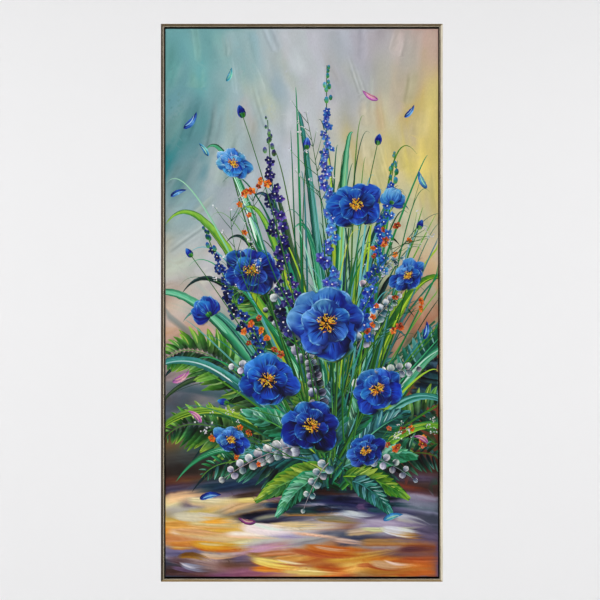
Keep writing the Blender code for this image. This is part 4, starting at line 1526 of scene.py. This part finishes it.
def makeCotton():
    # the bare back of the cloth, with its slubs and a little size soaked through
    material, tree, shader = recipe("rawCotton")
    weave = weaveOf(tree)
    slub = maths(tree, "MAXIMUM", noise(tree, (26, 900, 900), 2.0), noise(tree, (900, 900, 26), 2.0))
    stain = noise(tree, 5, 4.0)
    colour = mixed(tree, ramp(tree, slub, 0.50, 0.72), tint("CBBE9F"), tint("E0D6BC"))
    # painted shade: the colour darkens towards 8E7F60 where the weave is low, in the hollows between the
    # threads
    colour = mixed(tree, ramp(tree, weave, 0.15, 0.5, 0.55, 0.0), colour, tint("8E7F60"))
    colour = mixed(tree, ramp(tree, stain, 0.48, 0.70, 0.0, 0.35), colour, tint("B5A27C"))
    speck = noise(tree, 330, 2.0)
    colour = mixed(tree, ramp(tree, speck, 0.74, 0.80, 0.0, 0.7), colour, tint("6E5A3C"))
    setUp(tree, shader, Base_Color=colour, Roughness=cotton["roughness"], Sheen_Weight=cotton["sheen"])
    bumped(tree, shader, plus(tree, weave, times(tree, slub, 0.5)), cotton["height"], 0.8)
    return material


oilOnCloth = makeOil("oilOnCloth", False)
oilStrokes = makeOil("oilStrokes", True)
rawCotton = makeCotton()


# the stretched cloth, front and back
def clothBands(deep, halfX):
    # rings from the face round to the bare back: inset from the outline, depth behind the face
    # and whether the ring is on the bare side
    r, t, turnover, turns = cloth["fold"], cloth["thick"], cloth["turnover"], cloth["turns"]
    inner = max(r - t, 0.0003)
    lip = t + inner
    bends = [(math.sin(math.pi / 2 * k / 3), math.cos(math.pi / 2 * k / 3)) for k in range(4)]
    return [
        *[(r - r * s, r - r * c, 0) for s, c in bends[1:]],
        *[(0.0, r + (deep - 2 * r) * k / 5, 0) for k in range(1, 6)],
        *[(r - r * c, deep - r + r * s, 0) for s, c in bends[1:]],
        *[(r + (turnover - r) * k / turns, deep, 0) for k in range(1, turns + 1)],
        *[(lip + (turnover - t - inner) * k / turns, deep - t, 1) for k in range(turns, 0, -2)],
        *[(lip - inner * s, deep - t - inner + inner * c, 1) for s, c in bends],
        *[(lip - inner * c, lip - inner * s, 1) for s, c in bends],
        *[(inset, t, 1) for inset in (*cloth["backRings"], halfX)],
    ]


def makeCloth():
    # one closed mesh: the painted face, the edges, the turned-over hem and the bare back
    gapX, gapZ = clothGaps
    a, b = np.meshgrid(np.linspace(-1, 1, gapX + 1), np.linspace(-1, 1, gapZ + 1))
    halfX, halfZ = wide / 2, tall / 2
    faceX, faceZ = a * (halfX - cloth["fold"]), b * (halfZ - cloth["fold"])
    cells = cellsUnder(faceX, faceZ)
    number = np.arange(a.size).reshape(a.shape)
    points = [np.stack([faceX, slackAt(faceX, faceZ), faceZ], axis=-1).reshape(-1, 3)]
    colours = [wetColour[cells].reshape(-1, 3)]
    relief = [paintDepth[cells].ravel()]
    faces = [gridFaces(number)]
    zones = [np.zeros(gapX * gapZ, int)]
    loop = np.concatenate([number[0, :-1], number[:-1, -1], number[-1, :0:-1], number[:0:-1, 0]])
    ringA, ringB = a.ravel()[loop], b.ravel()[loop]
    edgeColour = colours[0][loop]
    deep, t = backY - faceY, cloth["thick"]
    near = 1e-9
    draw = np.random.default_rng(cloth["seed"])
    count = len(loop)

    def waver(size, reach):
        # a soft random line that closes on itself
        line = draw.normal(0, 1, count)
        kernel = np.hanning(size * 2 + 1)
        kernel = kernel / kernel.sum()
        line = np.convolve(np.concatenate([line, line, line]), kernel, "same")[count : 2 * count]
        return line / line.std() * reach

    cut = waver(12, cloth["cutWaver"] / 2)
    bleed = cloth["bleed"] + np.abs(waver(4, cloth["bleedMore"]))
    before = loop
    total = a.size
    for inset, depth, bare in clothBands(deep, halfX):
        here, y = np.full(count, float(inset)), np.full(count, float(depth))
        if depth >= deep - t - near and inset > 0.02:
            here += cut * (inset / cloth["turnover"])
        x, z = ringA * (halfX - here), ringB * (halfZ - here)
        if depth <= t + near and bare:
            y = y + slackAt(x, z)
        hemmed = depth >= deep - near
        if hemmed and not bare and inset > cloth["pleatFrom"]:
            nearX, nearZ = halfX - np.abs(x), halfZ - np.abs(z)
            pleat = ease((cloth["pleatWide"] - np.abs(nearX - nearZ)) / cloth["pleatSoft"])
            pleat = pleat * (nearX > nearZ - 0.001)
            y = y + cloth["pleat"] * pleat * ease((inset - cloth["pleatFrom"]) / 0.006)
        points.append(np.stack([x, y, z], axis=1))
        run = depth + (inset if hemmed else 0)
        share = np.zeros((count, 1)) if bare else ease((bleed - run) / cloth["bleedSoft"] + 0.5)[:, None]
        smear = np.clip(waver(3, cloth["smear"]), -0.05, 0.05)[:, None]
        colours.append(edgeColour * share + (shade("primer") + smear) * (1 - share))
        relief.append(np.zeros(count))
        now = total + np.arange(count)
        total += count
        faces.append(np.stack([before, now, np.roll(now, -1), np.roll(before, -1)], axis=1))
        zones.append(np.full(count, bare))
        before = now
    points = np.concatenate(points) + [clothMiddle[0], faceY, clothMiddle[2]]
    sheet = meshPiece("canvas_cloth", points, np.concatenate(faces), [oilOnCloth, rawCotton],
                      np.concatenate(zones))
    storePaint(sheet, colours)
    store(sheet, "relief", "FLOAT", np.concatenate(relief))
    rework(sheet, lambda mesh: bmesh.ops.remove_doubles(mesh, verts=mesh.verts, dist=cloth["weld"]))
    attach(sheet, "root")
    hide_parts("canvas")
    return sheet


# the picture, layer by layer
primeGround()
washAir()
clothFace = makeCloth()
print("cloth", len(clothFace.data.polygons), "faces")
startOver()
paintPicture()
print("picture", sum(len(v) for v in layers.values()), "strokes")

patching = {"side": 1000, "largest": 14.0, "smallest": 0.5, "step": 0.25, "gap": 2.5}
grooving = {"along": 60, "across": 2.1, "apart": 7.31}  # how fine the bristle marks are, and how unlike


def packPatches(sizes):
    # a place for each stroke's patch on a square map, as large as all of them allow
    side, gap = patching["side"], patching["gap"]
    order = sorted(range(len(sizes)), key=lambda i: (-sizes[i][1], -sizes[i][0]))
    for texels in np.arange(patching["largest"], patching["smallest"], -patching["step"]):
        x = y = shelf = 0.0
        places = [None] * len(sizes)
        for i in order:
            w, h = sizes[i][0] * texels + gap, sizes[i][1] * texels + gap
            if x + w > side:
                x, y, shelf = 0.0, y + shelf, 0.0
            if y + h > side or w > side:
                break
            places[i] = (x + gap / 2, y + gap / 2)
            x, shelf = x + w, max(shelf, h)
        else:
            return places, texels
    return None, 0.0


def makeLayer(name, strokes):
    points, colours, brushed, bodies, faces, patch = [], [], [], [], [], []
    places, texels = packPatches([(s[0].shape[0] - 1, s[0].shape[1] - 1) for s in strokes])
    total = 0
    for index, (x, z, depth, colour, cover, inside, length) in enumerate(strokes):
        along, across = x.shape[0] - 1, x.shape[1] - 1
        points.append(np.stack([x, slackAt(x, z) - depth, z], axis=-1).reshape(-1, 3))
        colours.append(colour.reshape(-1, 3))
        bodies.append(cover.ravel())
        i, j = np.meshgrid(np.arange(along + 1), np.arange(across + 1), indexing="ij")
        combed = [i * length / along * grooving["along"], j * grooving["across"],
                  np.full(i.shape, index * grooving["apart"])]
        brushed.append(np.stack(combed, axis=-1).reshape(-1, 3))
        u = (places[index][0] + i * texels) / patching["side"]
        v = (places[index][1] + j * texels) / patching["side"]
        patch.append(np.stack([u, v], axis=-1).reshape(-1, 2))
        four = inside[:-1, :-1], inside[:-1, 1:], inside[1:, 1:], inside[1:, :-1]
        # a face that the picture's edge has turned inside out is left off
        spread = ((x[1:, 1:] - x[:-1, :-1]) * (z[1:, :-1] - z[:-1, 1:])
                  - (z[1:, 1:] - z[:-1, :-1]) * (x[1:, :-1] - x[:-1, 1:]))
        sound = spread * np.sign(np.median(spread)) > 1e-9
        kept = np.all(four, axis=0) | (np.any(four, axis=0) & sound)
        faces.append(gridFaces(total + np.arange(x.size).reshape(x.shape))[kept.ravel()])
        total += x.size
    points = np.concatenate(points) + [clothMiddle[0], faceY, clothMiddle[2]]
    faces = np.concatenate(faces)
    piece = meshPiece(name, points, faces, [oilStrokes])
    storePaint(piece, colours)
    store(piece, "bristle", "FLOAT_VECTOR", np.concatenate(brushed))
    store(piece, "body", "FLOAT", np.concatenate(bodies))
    wrap = piece.data.uv_layers.new(name="OFBake")
    corners = np.zeros(len(piece.data.loops), np.int32)
    piece.data.loops.foreach_get("vertex_index", corners)
    wrap.data.foreach_set("uv", np.concatenate(patch)[corners].astype(np.float32).ravel())
    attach(piece, "root")
    print("  ", name, len(strokes), "strokes", len(faces), "faces", texels, "texels")
    return piece


paintPieces = [makeLayer("paint_" + name, strokes) for name, strokes in layers.items()]

# staples along the hem
stapling = {
    "crown": 0.0108, "wire": 0.0011, "flat": 0.0006, "leg": 0.0016,
    "inset": 0.0225, "pitch": 0.062, "clear": 0.05,  # none this near the corners
    "proud": 0.0001,
    "hangers": (-0.15, 0.15),  # their middles
    "beside": 0.024,  # and none this near to one
    "seed": 53,
}


def stapleShape():
    # a bent wire: crown, two rounded shoulders and the start of its legs
    half, drop = stapling["crown"] / 2, stapling["leg"]
    rise = [(half, -drop), (half, -0.0004), (half - 0.0003, 0.0), (half - 0.0012, 0.00015)]
    spine = [(-x, y) for x, y in rise] + [(0, 0.0002)] + rise[::-1]
    w, h = stapling["wire"] / 2, stapling["flat"]
    section = [(-w, 0.1), (-w * 0.6, 1.0), (w * 0.6, 1.0), (w, 0.1), (w * 0.6, 0.0), (-w * 0.6, 0.0)]
    points = []
    for k, (x, y) in enumerate(spine):
        before, after = spine[max(k - 1, 0)], spine[min(k + 1, len(spine) - 1)]
        lead = np.array(after) - before
        out = -beside(lead / np.linalg.norm(lead))
        points += [(x + out[0] * rise * h, sideways, y + out[1] * rise * h) for sideways, rise in section]
    return np.array(points), tubeFaces(len(spine), len(section))


def makeStaples():
    shape, quads = stapleShape()
    draw = np.random.default_rng(stapling["seed"])
    points, faces = [], []
    halfX, halfZ = wide / 2, tall / 2
    for level, half, out, way in ((1, halfX, halfZ, 1), (1, halfX, halfZ, -1), (0, halfZ, halfX, 1),
                                  (0, halfZ, halfX, -1)):
        reach = half - stapling["clear"]
        count = int(2 * reach / stapling["pitch"])
        for k in range(count + 1):
            along = -reach + 2 * reach * k / count + draw.normal(0, 0.003)
            across = way * (out - stapling["inset"] + draw.normal(0, 0.0007))
            turn = draw.normal(0, 0.12) + (0.0 if level else math.pi / 2)
            x, z = (along, across) if level else (across, along)
            if level and way > 0 and any(abs(x - h) < stapling["beside"] for h in stapling["hangers"]):
                continue
            c, s = math.cos(turn), math.sin(turn)
            spun = np.stack([shape[:, 0] * c - shape[:, 1] * s + x, shape[:, 2] + backY + stapling["proud"],
                             shape[:, 0] * s + shape[:, 1] * c + z], axis=1)
            faces.append(quads + len(points) * len(shape))
            points.append(spun + [clothMiddle[0], 0, clothMiddle[2]])
    piece = meshPiece("hem_staples", np.concatenate(points), np.concatenate(faces), [finishes["zincPlate"]])
    rework(piece, lambda mesh: bmesh.ops.holes_fill(mesh, edges=mesh.edges, sides=6))
    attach(piece, "root")
    print("staples", len(points))
    return piece


staples = makeStaples()


# a plain pale studio
studio = {
    "floor": -2.42,  # the middle of the picture hangs at 0.6 below the origin
    "wide": 5.6, "deep": 4.9, "cove": 1.0, "tall": 4.6,
    "around": 96,
    "wall": "DDDDDE",
    "glow": 0.13,  # the paper gives back a little light everywhere, as if lit from all around
    "sky": 0.32,
}


def makeStudio():
    around = studio["around"]
    bends = [math.pi / 2 * k / 8 for k in range(9)]
    profile = [(0.35, 0.0), (0.7, 0.0)]
    profile += [(1 - 0.2 * (1 - math.sin(a)), studio["cove"] * (1 - math.cos(a))) for a in bends]
    profile += [(1.0, studio["tall"] * 0.6), (1.0, studio["tall"])]
    turns = np.arange(around) / around * 2 * math.pi
    points = [(r * studio["wide"] * math.cos(t), r * studio["deep"] * math.sin(t), studio["floor"] + h)
              for r, h in profile for t in turns]
    points.append((0.0, 0.0, studio["floor"]))
    material, tree, shader = recipe("studioPaper")
    colour = mixed(tree, times(tree, noise(tree, 2, 2.0), 0.02), tint(studio["wall"]), tint("FFFFFF"))
    setUp(tree, shader, Base_Color=colour, Roughness=0.95, Emission_Color=tint("FFFEFC"),
          Emission_Strength=studio["glow"], Specular_IOR_Level=0.1)
    paper = meshPiece("studio_paper", np.array(points), tubeFaces(len(profile), around), [material])

    def closeFloor(mesh):
        hub = mesh.verts[len(points) - 1]
        for k in range(around):
            mesh.faces.new([hub, mesh.verts[k], mesh.verts[(k + 1) % around]]).smooth = True

    rework(paper, closeFloor)


cards = {
    # brown cards that show only as reflections in the metal and the varnish: corners, then two browns
    "card_left": ([(-1.2, -1.15, -2.3), (-1.2, 1.0, -2.3), (-1.2, 1.0, 1.3), (-1.2, -1.15, 1.3)],
                  "3A2611", "442D15"),
    "card_front": ([(-2.3, -4.3, -2.3), (2.3, -4.3, -2.3), (2.3, -4.3, 2.1), (-2.3, -4.3, 2.1)],
                   "3A2414", "442D16"),
    "card_above": ([(-0.9, -0.9, 1.0), (0.9, -0.9, 1.0), (0.9, 0.9, 1.0), (-0.9, 0.9, 1.0)],
                   "7E683F", "8A7349"),
    "card_below": ([(-0.9, -0.9, -2.1), (0.9, -0.9, -2.1), (0.9, 0.9, -2.1), (-0.9, 0.9, -2.1)],
                   "CCB080", "D6BA8C"),
}


def makeCards():
    for name, (corners, deep, pale) in cards.items():
        material, tree, shader = recipe(name + "_board")
        colour = mixed(tree, noise(tree, 3, 2.0), tint(deep), tint(pale))
        setUp(tree, shader, Base_Color=colour, Roughness=1.0)
        card = meshPiece(name, np.array(corners), [(0, 1, 2, 3)], [material])
        card.visible_camera = False
        card.visible_diffuse = False
        card.visible_shadow = False


makeStudio()
makeCards()
print("studio paper and", len(cards), "cards")

lamps = {
    # place, aim, size, watts, warmth
    "key": ((-2.9, -2.7, 1.2), (0.0, 0.0, -0.6), (2.0, 2.0), 88.0, "FFFDFA"),
    "backLeft": ((-2.7, 1.5, 0.3), (0.7, 4.9, 0.1), (0.8, 3.0), 37.0, "FFFFFF"),
    "backRight": ((2.7, 1.5, 0.3), (-0.7, 4.9, 0.1), (0.8, 3.0), 37.0, "FFFFFF"),
    "rightStrip": ((2.6, 0.0, -0.6), (0.0, 0.0, -0.6), (1.2, 3.0), 11.5, "FFFFFF"),
    "nearLeft": ((-0.62, -3.8, -0.75), (-0.31, 0.0, -0.6), (0.3, 1.9), 6.5, "FFFFFF"),
    "nearRight": ((0.62, -3.8, -0.75), (0.31, 0.0, -0.6), (0.3, 1.9), 6.5, "FFFFFF"),
    "floor": ((1.4, 1.0, 1.9), (0.3, 0.0, -2.4), (2.0, 2.0), 26.0, "FFFFFF"),
}
for name, (place, aim, size, watts, warmth) in lamps.items():
    light = bpy.data.lights.new(name, "AREA")
    light.shape = "RECTANGLE"
    light.size, light.size_y = size
    light.energy = watts
    light.color = tint(warmth)[:3]
    lamp = linked(name, light)
    lamp.location = place
    lamp.rotation_euler = (Vector(aim) - Vector(place)).to_track_quat("-Z", "Y").to_euler()
    lamp.visible_camera = False
print("lamps", len(lamps))

world = bpy.data.worlds.new("softSky")
world.use_nodes = True
sky = world.node_tree.nodes["Background"]
sky.inputs["Color"].default_value = (0.96, 0.97, 1.0, 1.0)
sky.inputs["Strength"].default_value = studio["sky"]
scene.world = world
scene.view_settings.view_transform = "Standard"

# camera, square on to the picture
lens = {"focal": 100.0, "sensor": 36.0, "seen": 1.3125, "left": 0.0040, "up": 0.0061}
camera = linked("camera", bpy.data.cameras.new("camera"))
camera.data.lens = lens["focal"]
camera.data.sensor_width = lens["sensor"]
camera.data.clip_end = 60
away = lens["seen"] * lens["focal"] / lens["sensor"]
camera.location = (middle[0] - lens["left"], frameLow[1] - away, middle[2] + lens["up"])
camera.rotation_euler = (math.radians(90), 0, 0)
scene.camera = camera
print("camera", np.round(camera.location, 3))
